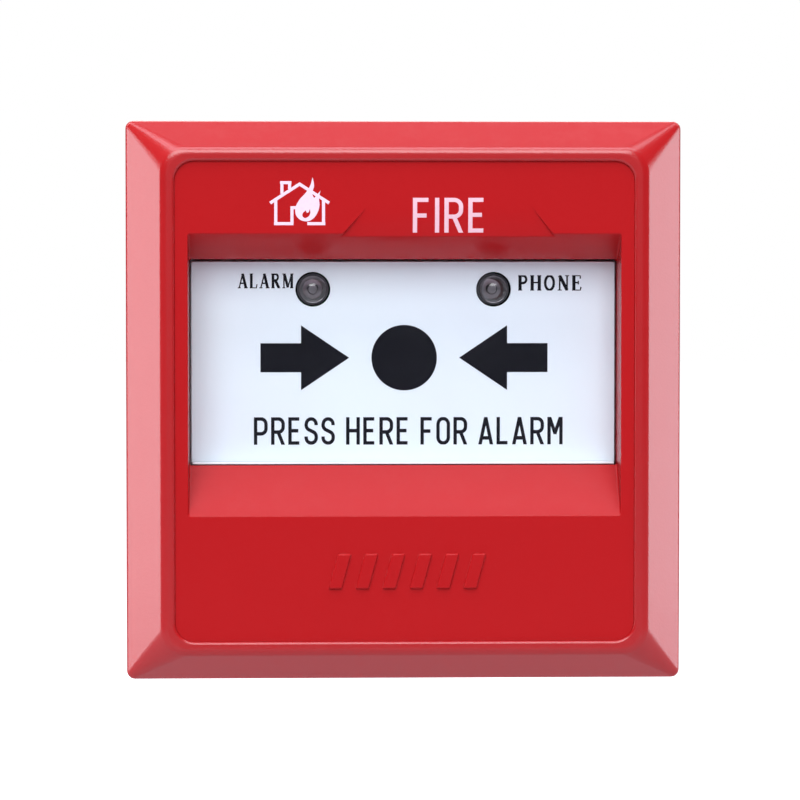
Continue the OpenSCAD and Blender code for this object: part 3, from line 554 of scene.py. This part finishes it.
def pieceFrom(bm, name, material, smoothBelow=35.0, weighted=True):
    mesh = bpy.data.meshes.new(name)
    bmesh.ops.recalc_face_normals(bm, faces=bm.faces)
    bm.to_mesh(mesh)
    bm.free()
    mesh.materials.append(material)
    mesh.shade_smooth()
    mesh.set_sharp_from_angle(angle=math.radians(smoothBelow))
    piece = bpy.data.objects.new(name, mesh)
    bpy.context.scene.collection.objects.link(piece)
    if weighted:
        even = piece.modifiers.new("evenShading", "WEIGHTED_NORMAL")
        even.keep_sharp = True
    return piece


def cutWith(bm, cutter):
    # takes one bmesh's volume out of another and hands back the result
    block = bpy.data.objects.new("cutBlock", bpy.data.meshes.new("cutBlock"))
    tool = bpy.data.objects.new("cutTool", bpy.data.meshes.new("cutTool"))
    for thing, shape in ((block, bm), (tool, cutter)):
        bmesh.ops.recalc_face_normals(shape, faces=shape.faces)
        shape.to_mesh(thing.data)
        shape.free()
        bpy.context.scene.collection.objects.link(thing)
    cut = block.modifiers.new("cut", "BOOLEAN")
    cut.operation = "DIFFERENCE"
    cut.solver = "EXACT"
    cut.object = tool
    bpy.context.view_layer.update()
    left = bpy.data.meshes.new_from_object(block.evaluated_get(bpy.context.evaluated_depsgraph_get()))
    bm = bmesh.new()
    bm.from_mesh(left)
    for thing in (block, tool):
        bpy.data.meshes.remove(thing.data)
    bpy.data.meshes.remove(left)
    bmesh.ops.remove_doubles(bm, verts=bm.verts, dist=0.002 * mm)
    bmesh.ops.dissolve_limit(bm, angle_limit=math.radians(0.3), verts=bm.verts, edges=bm.edges)
    return bm


def finishPiece(piece, body, slot, *nodes):
    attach(piece, body)
    if nodes:
        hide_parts(*nodes)
    return piece


# bevelled front frame

frontFrame = {
    "outer": (95.4 * mm, 96.0 * mm, 1.4 * mm),   # width, height, corner
    "rim": (82.3 * mm, 85.8 * mm, 4.5 * mm),
    "opening": (78.3 * mm, 81.8 * mm, 3.35 * mm),
    "inside": (90.6 * mm, 91.2 * mm, 1.0 * mm),
    "shoulder": (83.0 * mm, 83.0 * mm, 1.5 * mm),
    "back": 20.5 * mm,                           # depths from the wall
    "shoulderBack": 23.5 * mm,
    "shoulderFront": 25.5 * mm,
    "insideFront": 37.5 * mm,
    "bevelStart": 38.5 * mm,
    "underRim": 42.5 * mm,
    "front": 45.5 * mm,
    "underRimCorner": 3.0 * mm,
    "rimRound": 0.9 * mm,                        # outer and inner edge of the rim, bevel's foot, rear edge
    "lipRound": 0.55 * mm,
    "footRound": 0.5 * mm,
    "backRound": 0.3 * mm,
    "rimMargin": 1.0 * mm,
    "keyHole": (4.3 * mm, 6 * mm, -46.5 * mm),   # radius, length, middle height
    "nutHole": (5.9 * mm, 4 * mm, -48.3 * mm),
    "bushHole": (4.5 * mm, 8 * mm, -44.5 * mm),
    "keyDepth": 31 * mm,
}


def makeFrontFrame():
    f = frontFrame
    bm = bmesh.new()
    underRim = (f["rim"][0], f["rim"][1], f["underRimCorner"])
    closedShell(bm, [
        (*f["outer"], f["back"]), (*f["outer"], f["bevelStart"]), (*f["rim"], f["front"]),
        (*f["opening"], f["front"]), (*f["opening"], f["underRim"]), (*underRim, f["underRim"]),
        (*f["inside"], f["insideFront"]), (*f["inside"], f["shoulderFront"]),
        (*f["shoulder"], f["shoulderFront"]), (*f["shoulder"], f["shoulderBack"]),
        (*f["inside"], f["shoulderBack"]), (*f["inside"], f["back"])])
    roundEdges(bm, f["footRound"], 4, lambda e: nearDepth(e, f["bevelStart"]))
    rimHalf = f["opening"][0] / 2 + f["rimMargin"]
    rimTall = f["opening"][1] / 2 + f["rimMargin"]
    roundEdges(bm, f["rimRound"], 6, lambda e: nearDepth(e, f["front"]) and max(
        max(abs(v.co.x) - rimHalf, abs(v.co.z) - rimTall) for v in e.verts) > 0)
    roundEdges(bm, f["lipRound"], 6, lambda e: nearDepth(e, f["front"]))
    roundEdges(bm, f["backRound"], 3, lambda e: nearDepth(e, f["back"]))
    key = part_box("reset_barrel")
    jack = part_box("jack_nut")
    keyX = ((key[0] + key[1]) / 2).x
    jackX = ((jack[0] + jack[1]) / 2).x
    jackDepth = -(jack[0] + jack[1]).y / 2
    for (radius, length, height), x, depth in (
            (f["keyHole"], keyX, f["keyDepth"]), (f["nutHole"], jackX, jackDepth),
            (f["bushHole"], jackX, jackDepth)):
        cutter = bmesh.new()
        rod(cutter, radius, length, Matrix.Translation((x, -depth, height)))
        bm = cutWith(bm, cutter)
    piece = pieceFrom(bm, "frontFrame", finishes["frame_plastic"])
    finishPiece(piece, "front_unit", "frame_plastic", "front_frame")


# recessed cover with the window

faceCover = {
    "outer": (78.28 * mm, 81.78 * mm, 3.34 * mm),
    "front": 44.9 * mm,
    "back": 42.7 * mm,
    "windowFront": (36.9 * mm, -19.5 * mm, 28.6 * mm),     # half width, bottom, top
    "windowFloor": (36.85 * mm, -11.15 * mm, 24.3 * mm),
    "windowDepth": 38.3 * mm,
    "sleeveBack": 33.0 * mm,
    "sleeveLow": -11.85 * mm,
    "wall": 1.5 * mm,
    "corner": 0.35 * mm,
    "edge": 0.25 * mm,
    "facetTop": 33.1 * mm,
    "facetLow": 28.0 * mm,
    "facetSunk": 0.73 * mm,
    "facetMiddle": 7.4 * mm,
    "facetHalf": (18.3 * mm, 14.1 * mm),
    "bars": 6,
    "barStep": 4.6 * mm,
    "barMiddle": (0.4 * mm, -28.9 * mm),
    "barSize": (2.3 * mm, 6.0 * mm, 0.45 * mm),
    "barRound": 0.3 * mm,
    "barFoot": 0.2 * mm,
    "barLean": 0.27,
    "rimRound": 0.03 * mm,
    "windowSide": 38.0 * mm,         # nothing outside this and these heights belongs to the window
    "windowReach": (-22 * mm, 36 * mm),
}


def windowRing(half, low, high, depth, corner, wall=0.0):
    return 2 * (half + wall), high - low + 2 * wall, corner + wall, depth, (low + high) / 2


def makeFaceCover():
    f = faceCover
    wall, corner = f["wall"], f["corner"]
    half, low, high = f["windowFloor"]
    frontHalf, frontLow, frontHigh = f["windowFront"]
    share = (f["back"] - f["windowDepth"]) / (f["front"] - f["windowDepth"])
    behind = [a + (b - a) * share for a, b in zip(f["windowFloor"], f["windowFront"])]
    bm = bmesh.new()
    closedShell(bm, [
        (*f["outer"], f["front"]), windowRing(frontHalf, frontLow, frontHigh, f["front"], corner),
        windowRing(half, low, high, f["windowDepth"], corner),
        windowRing(half, f["sleeveLow"], high, f["sleeveBack"], corner),
        windowRing(half, f["sleeveLow"], high, f["sleeveBack"], corner, wall),
        windowRing(half, low, high, f["windowDepth"], corner, wall),
        windowRing(*behind, f["back"], corner, wall), (*f["outer"], f["back"])])
    facet = bmesh.new()
    bmesh.ops.create_cube(facet, size=1)
    for v in facet.verts:
        top, out = v.co.z > 0, v.co.y < 0
        v.co.x = f["facetMiddle"] + math.copysign(f["facetHalf"][1 if top else 0], v.co.x)
        v.co.z = f["facetTop"] if top else f["facetLow"]
        v.co.y = -f["front"] - 1 * mm if out else -f["front"] + (0 if top else f["facetSunk"])
    bm = cutWith(bm, facet)

    def inWindow(e):
        foot, head = f["windowReach"]
        return all(abs(v.co.x) < f["windowSide"] and foot < v.co.z < head for v in e.verts)

    roundEdges(bm, f["rimRound"], 2,
               lambda e: nearDepth(e, f["front"], 0.03 * mm) and not inWindow(e), 50.0)
    roundEdges(bm, f["edge"], 4, lambda e: nearDepth(e, f["front"], 0.8 * mm) and inWindow(e), 12.0)
    wide, tall, raised = f["barSize"]
    for i in range(f["bars"]):
        fresh = box(bm, -wide / 2, wide / 2, -f["barFoot"], raised, -tall / 2, tall / 2)
        lean = Matrix.Identity(4)
        lean[0][2] = f["barLean"]
        place = Matrix.Translation((f["barMiddle"][0] + (i - (f["bars"] - 1) / 2) * f["barStep"],
                                    -f["front"], f["barMiddle"][1]))
        bmesh.ops.transform(bm, matrix=place @ lean, verts=fresh)
        edges = {e for v in fresh for e in v.link_edges if min(w.co.y for w in e.verts) < -f["front"]}
        bmesh.ops.bevel(bm, geom=list(edges), offset=f["barRound"], segments=4, profile=0.5,
                        affect="EDGES", material=-1)
    piece = pieceFrom(bm, "faceCover", finishes["cover_plastic"])
    finishPiece(piece, "front_unit", "cover_plastic", "face_cover")


makeFrontFrame()
makeFaceCover()
print("stage: red shells")


# pane, card and what is printed on it

pressPlate = {
    "lampX": 15.6 * mm,
    "lampZ": 19.1 * mm,
    "holeRadius": 3.0 * mm,
}


def plateSheet(node, name, slot, edge, clearBehind=0.0):
    low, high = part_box(node)
    bm = bmesh.new()
    box(bm, low.x, high.x, -high.y + clearBehind, -low.y, low.z, high.z)
    upright = [e for e in bm.edges if abs(e.verts[0].co.y - e.verts[1].co.y) > 0.1 * mm]
    bmesh.ops.bevel(bm, geom=upright, offset=0.4 * mm, segments=5, profile=0.5, affect="EDGES", material=-1)
    for side in (-1, 1):
        cutter = bmesh.new()
        rod(cutter, pressPlate["holeRadius"], 10 * mm,
               towardsFace(-(low.y + high.y) / 2, side * pressPlate["lampX"], pressPlate["lampZ"]), 64)
        bm = cutWith(bm, cutter)
    roundEdges(bm, edge, 3, lambda e: True, 40.0)
    piece = pieceFrom(bm, name, finishes[slot])
    return finishPiece(piece, "press_plate", slot, node)


# a thin white strip under the clear pane's lower edge: its white is a painted highlight, standing in for
# the edge catching light

paneFoot = {
    "tall": 0.25 * mm,
    "inset": 0.3 * mm,
}


def makePaneEdgeHighlight():
    low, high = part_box("press_pane")
    bm = bmesh.new()
    box(bm, low.x + paneFoot["inset"], high.x - paneFoot["inset"], -high.y + 0.2 * mm, -low.y - 0.05 * mm,
        low.z - 0.02 * mm, low.z + paneFoot["tall"])
    roundEdges(bm, 0.05 * mm, 2, lambda e: True, 40.0)
    # white plastic here is a painted highlight along the pane's lower edge
    return finishPiece(pieceFrom(bm, "paneFoot", finishes["white_plastic"]), "press_plate", "white_plastic")


# lettering and signs are drawn as centre lines, in units of their own height

lettering = {
    "gap": 0.13,            # between letters
    "wordGap": 0.30,
    "plainStroke": 0.132,
    "signStroke": 0.118,
    "smallStroke": 0.22,
    "inkThick": 0.03 * mm,
}


def bend(cx, cz, rx, rz, start, end, steps=8):
    turns = [math.radians(start + (end - start) * i / steps) for i in range(steps + 1)]
    return [(cx + rx * math.cos(a), cz + rz * math.sin(a)) for a in turns]


def bowl(low, high, right=0.40, reach=0.19):
    # the round part of a P or an R, from the stem out and back
    return ([(0, high)] + bend(right - reach, high - reach, reach, reach, 90, 0)
            + bend(right - reach, low + reach, reach, reach, 0, -90) + [(0, low)])


# each letter: its width and its strokes, each a weight and its points
plainLetters = {
    "A": (0.44, [(1, [(-0.012, -0.05), (0.232, 1.05)]), (1, [(0.208, 1.05), (0.452, -0.05)]),
                 (1, [(0.05, 0.24), (0.39, 0.24)])]),
    "E": (0.36, [(1, [(0, 0), (0, 1)]), (1, [(0, 0.94), (0.36, 0.94)]), (1, [(0, 0.51), (0.32, 0.51)]),
                 (1, [(0, 0.06), (0.36, 0.06)])]),
    "F": (0.35, [(1, [(0, 0), (0, 1)]), (1, [(0, 0.94), (0.37, 0.94)]), (1, [(0, 0.49), (0.32, 0.49)])]),
    "H": (0.40, [(1, [(0, 0), (0, 1)]), (1, [(0.40, 0), (0.40, 1)]), (1, [(0, 0.51), (0.40, 0.51)])]),
    "I": (0.0, [(1, [(0, 0), (0, 1)])]),
    "L": (0.34, [(1, [(0, 0), (0, 1)]), (1, [(0, 0.06), (0.36, 0.06)])]),
    "M": (0.46, [(1, [(0, 0), (0, 1)]), (1, [(0.46, 0), (0.46, 1)]), (1, [(0.0, 1.04), (0.24, 0.38)]),
                 (1, [(0.22, 0.38), (0.46, 1.04)])]),
    "O": (0.40, [(1, [(0, 0.5)] + bend(0.20, 0.745, 0.20, 0.20, 180, 0)
                  + bend(0.20, 0.255, 0.20, 0.20, 0, -180) + [(0, 0.5)])]),
    "P": (0.40, [(1, [(0, 0), (0, 1)]), (1, bowl(0.40, 0.94))]),
    "R": (0.40, [(1, [(0, 0), (0, 1)]), (1, bowl(0.46, 0.94)), (1, [(0.20, 0.48), (0.422, -0.05)])]),
    "S": (0.39, [(1, [(0.385, 0.71)] + bend(0.195, 0.75, 0.19, 0.19, 0, 180)
                  + bend(0.20, 0.72, 0.20, 0.20, 180, 238) + bend(0.19, 0.285, 0.20, 0.20, 58, 0)
                  + bend(0.195, 0.25, 0.195, 0.19, 0, -180) + [(0.0, 0.30)])]),
}
seriffed = {
    "A": (0.70, [(0.5, [(0.06, 0), (0.36, 1)]), (1, [(0.34, 1), (0.63, 0)]),
                 (0.45, [(0.16, 0.34), (0.52, 0.34)]), (0.4, [(-0.06, 0.02), (0.20, 0.02)]),
                 (0.4, [(0.46, 0.02), (0.78, 0.02)])]),
    "E": (0.56, [(1, [(0.10, 0), (0.10, 1)]), (0.45, [(-0.03, 0.975), (0.52, 0.975), (0.54, 0.78)]),
                 (0.45, [(0.10, 0.52), (0.40, 0.52)]),
                 (0.45, [(-0.03, 0.025), (0.54, 0.025), (0.58, 0.24)]),
                 (0.4, [(0.40, 0.40), (0.40, 0.64)])]),
    "H": (0.68, [(1, [(0.10, 0), (0.10, 1)]), (1, [(0.58, 0), (0.58, 1)]),
                 (0.45, [(0.10, 0.52), (0.58, 0.52)])]
          + [(0.4, [(x - 0.14, z), (x + 0.14, z)]) for x in (0.10, 0.58) for z in (0.02, 0.98)]),
    "L": (0.56, [(1, [(0.10, 0), (0.10, 1)]), (0.4, [(-0.03, 0.98), (0.25, 0.98)]),
                 (0.45, [(-0.03, 0.025), (0.52, 0.025), (0.57, 0.27)])]),
    "M": (0.86, [(0.5, [(0.10, 0), (0.10, 1)]), (1, [(0.12, 1), (0.43, 0.06)]),
                 (0.5, [(0.43, 0.06), (0.74, 1)]), (1, [(0.74, 0), (0.74, 1)]),
                 (0.4, [(-0.03, 0.02), (0.22, 0.02)]), (0.4, [(0.60, 0.02), (0.88, 0.02)]),
                 (0.4, [(-0.03, 0.98), (0.13, 0.98)]), (0.4, [(0.72, 0.98), (0.88, 0.98)])]),
    "N": (0.70, [(0.5, [(0.10, 0), (0.10, 1)]), (1, [(0.09, 0.98), (0.60, 0.03)]),
                 (0.5, [(0.60, 0), (0.60, 1)]), (0.4, [(-0.04, 0.02), (0.24, 0.02)]),
                 (0.4, [(0.46, 0.98), (0.74, 0.98)])]),
    "O": (0.66, [(0.8, bend(0.33, 0.5, 0.29, 0.46, 0, 360, 28))]),
    "P": (0.56, [(1, [(0.10, 0), (0.10, 1)]), (0.4, [(-0.03, 0.02), (0.25, 0.02)]),
                 (0.75, [(-0.03, 0.97), (0.30, 0.97)] + bend(0.30, 0.73, 0.22, 0.24, 90, -90)
                  + [(0.10, 0.49)])]),
    "R": (0.64, [(1, [(0.10, 0), (0.10, 1)]), (0.4, [(-0.03, 0.02), (0.25, 0.02)]),
                 (0.75, [(-0.03, 0.97), (0.30, 0.97)] + bend(0.30, 0.75, 0.21, 0.22, 90, -90)
                  + [(0.10, 0.53)]),
                 (1, [(0.30, 0.52), (0.58, 0.04)]), (0.4, [(0.52, 0.02), (0.70, 0.02)])]),
}


def spelled(words, letters):
    lines = []
    x = 0
    for letter in words:
        if letter == " ":
            x += lettering["wordGap"]
            continue
        wide, strokes = letters[letter]
        lines += [(weight, [(x + px, pz) for px, pz in points]) for weight, points in strokes]
        x += wide + lettering["plainStroke"] + lettering["gap"]
    return lines


def meshOfCurve(curve):
    holder = bpy.data.objects.new("drawn", curve)
    bpy.context.scene.collection.objects.link(holder)
    bpy.context.view_layer.update()
    mesh = bpy.data.meshes.new_from_object(holder.evaluated_get(bpy.context.evaluated_depsgraph_get()))
    bpy.data.curves.remove(curve)
    bm = bmesh.new()
    bm.from_mesh(mesh)
    bpy.data.meshes.remove(mesh)
    bmesh.ops.remove_doubles(bm, verts=bm.verts, dist=0.0001)
    return bm


def drawnLines(lines, stroke, trim=True):
    # flat strokes of ink along centre lines; trim squares the ends off at the foot and head of the letters
    curve = bpy.data.curves.new("drawn", "CURVE")
    curve.dimensions = "3D"
    curve.bevel_depth = stroke / 2
    curve.bevel_resolution = 2
    curve.use_fill_caps = True
    for weight, points in lines:
        spline = curve.splines.new("POLY")
        spline.points.add(len(points) - 1)
        for dot, (x, z) in zip(spline.points, points):
            dot.co = (x, z, 0, 1)
            dot.radius = weight
    bm = meshOfCurve(curve)
    for height, up in ((0, -1), (1, 1)) if trim else ():
        bmesh.ops.bisect_plane(bm, geom=bm.verts[:] + bm.edges[:] + bm.faces[:], plane_co=(0, height, 0),
                               plane_no=(0, up, 0), clear_outer=True)
        bmesh.ops.holes_fill(bm, edges=[e for e in bm.edges if len(e.link_faces) == 1])
    return bm


def laid(bm, width, height, x, z, depth, stroke):
    # sizes a drawing, thins it to a film of ink and stands it on the face
    xs = [v.co.x for v in bm.verts]
    ys = [v.co.y for v in bm.verts]
    centre = Matrix.Translation((-(max(xs) + min(xs)) / 2, -(max(ys) + min(ys)) / 2, 0))
    fit = Matrix.Diagonal((width / (max(xs) - min(xs)), height / (max(ys) - min(ys)),
                           lettering["inkThick"] / stroke, 1))
    bmesh.ops.transform(bm, matrix=towardsFace(depth, x, z) @ fit @ centre, verts=bm.verts)


def printWords(name, words, letters, stroke, width, height, x, z, depth):
    bm = drawnLines(spelled(words, letters), stroke)
    laid(bm, width, height, x, z, depth, stroke)
    piece = pieceFrom(bm, name, inkDark, weighted=False)
    return finishPiece(piece, "press_plate", "white_card")


def flatShape(bm, outline, depth, thick, x, z):
    verts = [bm.verts.new((px * mm, pz * mm, 0)) for px, pz in outline]
    raised = bmesh.ops.extrude_face_region(bm, geom=[bm.faces.new(verts)])
    fresh = [g for g in raised["geom"] if isinstance(g, bmesh.types.BMVert)]
    bmesh.ops.translate(bm, vec=(0, 0, thick), verts=fresh)
    bmesh.ops.transform(bm, matrix=towardsFace(depth, x, z), verts=verts + fresh)


# where the printing on the card goes, in millimetres from the middle of the face
cardPrint = {
    "signs": (0.15, 7.3),
    "arrow": [(-24.8, -2.5), (-17.8, -2.5), (-17.8, -5.6), (-9.5, 0), (-17.8, 5.6), (-17.8, 2.5),
              (-24.8, 2.5)],
    "dotRadius": 5.65,
    "pressWords": (53.4, 4.75, 0.9, -5.35),
    "alarmWord": (9.6, 2.55, -23.75, 20.55),
    "phoneWord": (11.0, 2.65, 25.35, 20.2),
}


def makeCardPrint():
    f = cardPrint
    depth = -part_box("legend_card")[0].y
    thick = lettering["inkThick"]
    x, z = f["signs"][0] * mm, f["signs"][1] * mm
    bm = bmesh.new()
    rod(bm, f["dotRadius"] * mm, thick, towardsFace(depth + thick / 2, x, z), 96)
    flatShape(bm, f["arrow"], depth, thick, x, z)
    flatShape(bm, [(-px, pz) for px, pz in reversed(f["arrow"])], depth, thick, x, z)
    piece = pieceFrom(bm, "pressSigns", inkDark, weighted=False)
    finishPiece(piece, "press_plate", "white_card")
    for name, words, letters, stroke in (
            ("pressWords", "PRESS HERE FOR ALARM", plainLetters, lettering["plainStroke"]),
            ("alarmWord", "ALARM", seriffed, lettering["smallStroke"]),
            ("phoneWord", "PHONE", seriffed, lettering["smallStroke"])):
        printWords(name, words, letters, stroke, *[n * mm for n in f[name]], depth)


# the same for the cover
coverPrint = {
    "fireWord": (12.0, 5.9, 7.35, 31.75),
    "house": (-17.9, 34.15),
    "houseStroke": 0.52,
    "houseLines": [
        [(-5.0, -0.35), (0.15, 2.95)], [(-0.15, 2.95), (5.0, -0.35)], [(-4.05, 0.1), (-4.05, -4.1)],
        [(4.05, 0.1), (4.05, -4.1)], [(-4.35, -3.85), (-1.05, -3.85)], [(-1.3, -3.85), (-1.3, -0.9)],
        [(-1.5, -1.15), (-0.4, -1.15)], [(1.3, -3.85), (4.35, -3.85)], [(-3.0, 1.2), (-3.0, 3.3)],
        [(-3.3, 3.1), (-1.4, 3.1)], [(-1.7, 3.3), (-1.7, 2.0)]],
    "flame": [(0.9, -3.45), (-0.4, -2.75), (-0.75, -1.45), (-0.1, 0.1), (1.0, 1.35), (1.75, 2.5),
              (2.2, 4.0), (2.45, 2.6), (2.15, 1.2), (2.45, 0.5), (3.0, 1.1), (3.55, 1.75), (3.3, 0.6),
              (3.35, -0.9), (2.85, -2.3), (2.0, -3.2)],
    "flameHeart": [(0.75, -2.85), (0.45, -2.3), (1.0, -1.6), (1.35, -2.0), (1.75, -1.35), (1.8, -2.1),
                   (1.35, -2.75)],
}


def facetDrop(co):
    # how far the shallow facet lies below the cover at a point
    share = (faceCover["facetTop"] - co.z) / (faceCover["facetTop"] - faceCover["facetLow"])
    return max(0.0, share * faceCover["facetSunk"])


def smoothOutline(points, sharp=()):
    curve = bpy.data.curves.new("outline", "CURVE")
    curve.dimensions = "2D"
    curve.fill_mode = "BOTH"
    curve.resolution_u = 5
    for ring, tips in points:
        spline = curve.splines.new("BEZIER")
        spline.bezier_points.add(len(ring) - 1)
        spline.use_cyclic_u = True
        for i, (dot, (x, z)) in enumerate(zip(spline.bezier_points, ring)):
            dot.co = (x, z, 0)
            kind = "VECTOR" if i in tips else "AUTO"
            dot.handle_left_type = dot.handle_right_type = kind
    curve.extrude = 0.5
    return meshOfCurve(curve)


def makeCoverPrint():
    f = coverPrint
    depth = faceCover["front"]
    width, height, x, z = [n * mm for n in f["fireWord"]]
    stroke = lettering["signStroke"]
    bm = drawnLines(spelled("FIRE", plainLetters), stroke)
    laid(bm, width, height, x, z, depth, stroke)
    bmesh.ops.bisect_plane(bm, geom=bm.verts[:] + bm.edges[:] + bm.faces[:],
                           plane_co=(0, 0, faceCover["facetTop"]), plane_no=(0, 0, 1))
    for v in bm.verts:
        v.co.y += facetDrop(v.co)
    finishPiece(pieceFrom(bm, "fireWord", inkPale, weighted=False), "front_unit", "cover_plastic")
    x, z = f["house"][0] * mm, f["house"][1] * mm
    bm = drawnLines([(1, line) for line in f["houseLines"]], f["houseStroke"], trim=False)
    flat = Matrix.Diagonal((mm, mm, lettering["inkThick"] / f["houseStroke"], 1))
    bmesh.ops.transform(bm, matrix=towardsFace(depth, x, z) @ flat, verts=bm.verts)
    finishPiece(pieceFrom(bm, "houseSign", inkWhite, weighted=False), "front_unit", "cover_plastic")
    bm = smoothOutline([(f["flame"], (6, 9, 11)), (f["flameHeart"], (2, 4))])
    flat = Matrix.Diagonal((mm, mm, lettering["inkThick"], 1))
    bmesh.ops.transform(bm, matrix=towardsFace(depth + 0.008 * mm, x, z) @ flat, verts=bm.verts)
    finishPiece(pieceFrom(bm, "flameSign", inkWhite, weighted=False), "front_unit", "cover_plastic")


plateSheet("press_pane", "pressPane", "clear_acrylic", 0.15 * mm, 0.1 * mm)
plateSheet("legend_card", "legendCard", "white_card", 0.06 * mm)
makePaneEdgeHighlight()
makeCardPrint()
makeCoverPrint()
print("stage: press plate and printing")


# indicators: a clear lens over a metal cup and a post, in a dark collar

lamp = {
    "lensRadius": 2.35 * mm,
    "footRadius": 2.9 * mm,
    "footBack": 29.3 * mm,
    "footThick": 1.0 * mm,
    "footEdge": 0.15 * mm,
    "neck": 0.05 * mm,
    "domeStart": 35.5 * mm,
    "collarRadius": 2.75 * mm,
    "collarBack": 33.4 * mm,
    "collarFront": 34.6 * mm,
    "collarGap": 0.03 * mm,
    "collarEdge": 0.1 * mm,
    # the cup and the post inside: radius, and depth below where the dome starts
    "cup": [(0.35, 1.9), (0.55, 1.9), (1.2, 0.9), (1.35, 0.9), (1.35, 1.5), (0.9, 2.4), (0.35, 2.6),
            (0.35, 1.9)],
    "post": [(0, 2.2), (0.32, 2.2), (0.32, 1.6), (0, 1.6)],
}


def spun(bm, profile, place, steps=48):
    # turns a profile of (radius, height) points about its own axis
    known = set(bm.verts)
    line = [bm.verts.new((r, 0, h)) for r, h in profile]
    edges = [bm.edges.new(pair) for pair in zip(line, line[1:])]
    bmesh.ops.spin(bm, geom=line + edges, cent=(0, 0, 0), axis=(0, 0, 1), angle=math.tau, steps=steps,
                   use_merge=True)
    bmesh.ops.remove_doubles(bm, verts=freshVerts(bm, known), dist=0.001 * mm)
    bmesh.ops.transform(bm, matrix=place, verts=freshVerts(bm, known))


def makeLamp(side, node):
    f = lamp
    place = towardsFace(f["footBack"], side * pressPlate["lampX"], pressPlate["lampZ"])
    dome = f["domeStart"] - f["footBack"]
    arc = [(f["lensRadius"] * math.cos(a), dome + f["lensRadius"] * math.sin(a))
           for a in [math.radians(d) for d in range(0, 91, 10)]]
    bm = bmesh.new()
    foot, thick, edge = f["footRadius"], f["footThick"], f["footEdge"]
    spun(bm, [(0, 0), (foot - edge, 0), (foot, edge), (foot, thick - edge), (foot - edge, thick),
              (f["lensRadius"], thick + f["neck"])] + arc[:-1] + [(0, arc[-1][1])], place)
    lens = pieceFrom(bm, node.replace("led", "lens"), finishes["clear_epoxy"], weighted=False)
    finishPiece(lens, "front_unit", "clear_epoxy", node)
    bm = bmesh.new()
    for profile, steps in ((f["cup"], 32), (f["post"], 12)):
        spun(bm, [(radius * mm, dome - below * mm) for radius, below in profile], place, steps)
    cupPiece = pieceFrom(bm, node.replace("led", "cup"), finishes["plated_steel"], weighted=False)
    finishPiece(cupPiece, "front_unit", "plated_steel")
    bm = bmesh.new()
    low, high = f["collarBack"] - f["footBack"], f["collarFront"] - f["footBack"]
    near, wide, edge = f["lensRadius"] + f["collarGap"], f["collarRadius"], f["collarEdge"]
    spun(bm, [(near, low), (wide, low), (wide, high - edge), (wide - edge, high), (near, high),
              (near, low)], place)
    collar = pieceFrom(bm, node.replace("led", "collar"), finishes["block_plastic"], weighted=False)
    finishPiece(collar, "front_unit", "block_plastic")


makeLamp(-1, "led_alarm")
makeLamp(1, "led_phone")
print("stage: indicators")


# the rest of the unit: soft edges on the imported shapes

softEdges = {
    "back_box": 0.35, "cable_grommet": 0.2, "terminal_block_top": 0.15, "terminal_block_bottom": 0.15,
    "block_screws": 0.08, "terminal_screws": 0.08, "terminal_clamps": 0.08, "base_contacts": 0.06,
    "seal_gasket": 0.2, "chassis": 0.15, "chassis_screws": 0.08, "rear_cover": 0.2,
    "rear_cover_screws": 0.08, "hinge_rod": 0.1, "press_carrier": 0.15, "reset_barrel": 0.12,
    "barrel_clip": 0.06, "microswitch_body": 0.12, "microswitch_lever": 0.04, "microswitch_plunger": 0.08,
    "circuit_board": 0.1, "controller_chip": 0.06, "relay": 0.2, "bridge_rectifier": 0.06,
    "capacitors": 0.12, "crystal": 0.12, "chip_resistors": 0.05, "led_spacers": 0.08, "plug_blades": 0.1,
    "jack_body": 0.2, "jack_bush": 0.12, "jack_nut": 0.12, "latch_spring": 0.05, "latch_screw": 0.08,
}
slots = {row["node"]: row["material_slot"] for row in frame["record"]["subparts"]}
members = frame["record"]["behaviour"]["bodies"]
bodies = {node: body for body in members for node in members[body]}


def softened(node, width):
    bm = bmesh.new()
    bm.from_mesh(frame["nodes"][node].data)
    bmesh.ops.remove_doubles(bm, verts=bm.verts, dist=0.002 * mm)
    bmesh.ops.dissolve_limit(bm, angle_limit=math.radians(0.8), verts=bm.verts, edges=bm.edges)
    roundEdges(bm, width * mm, 3, lambda e: True, 32.0)
    words = node.split("_")
    name = words[0] + "".join(word.capitalize() for word in words[1:])
    piece = pieceFrom(bm, name, finishes[slots[node]])
    finishPiece(piece, bodies[node], slots[node], node)


for node, width in softEdges.items():
    softened(node, width)
for node, thing in frame["nodes"].items():
    thing.data.materials.clear()
    thing.data.materials.append(finishes[slots[node]])
print("stage: box, mechanism and terminals")

print("stage: done")
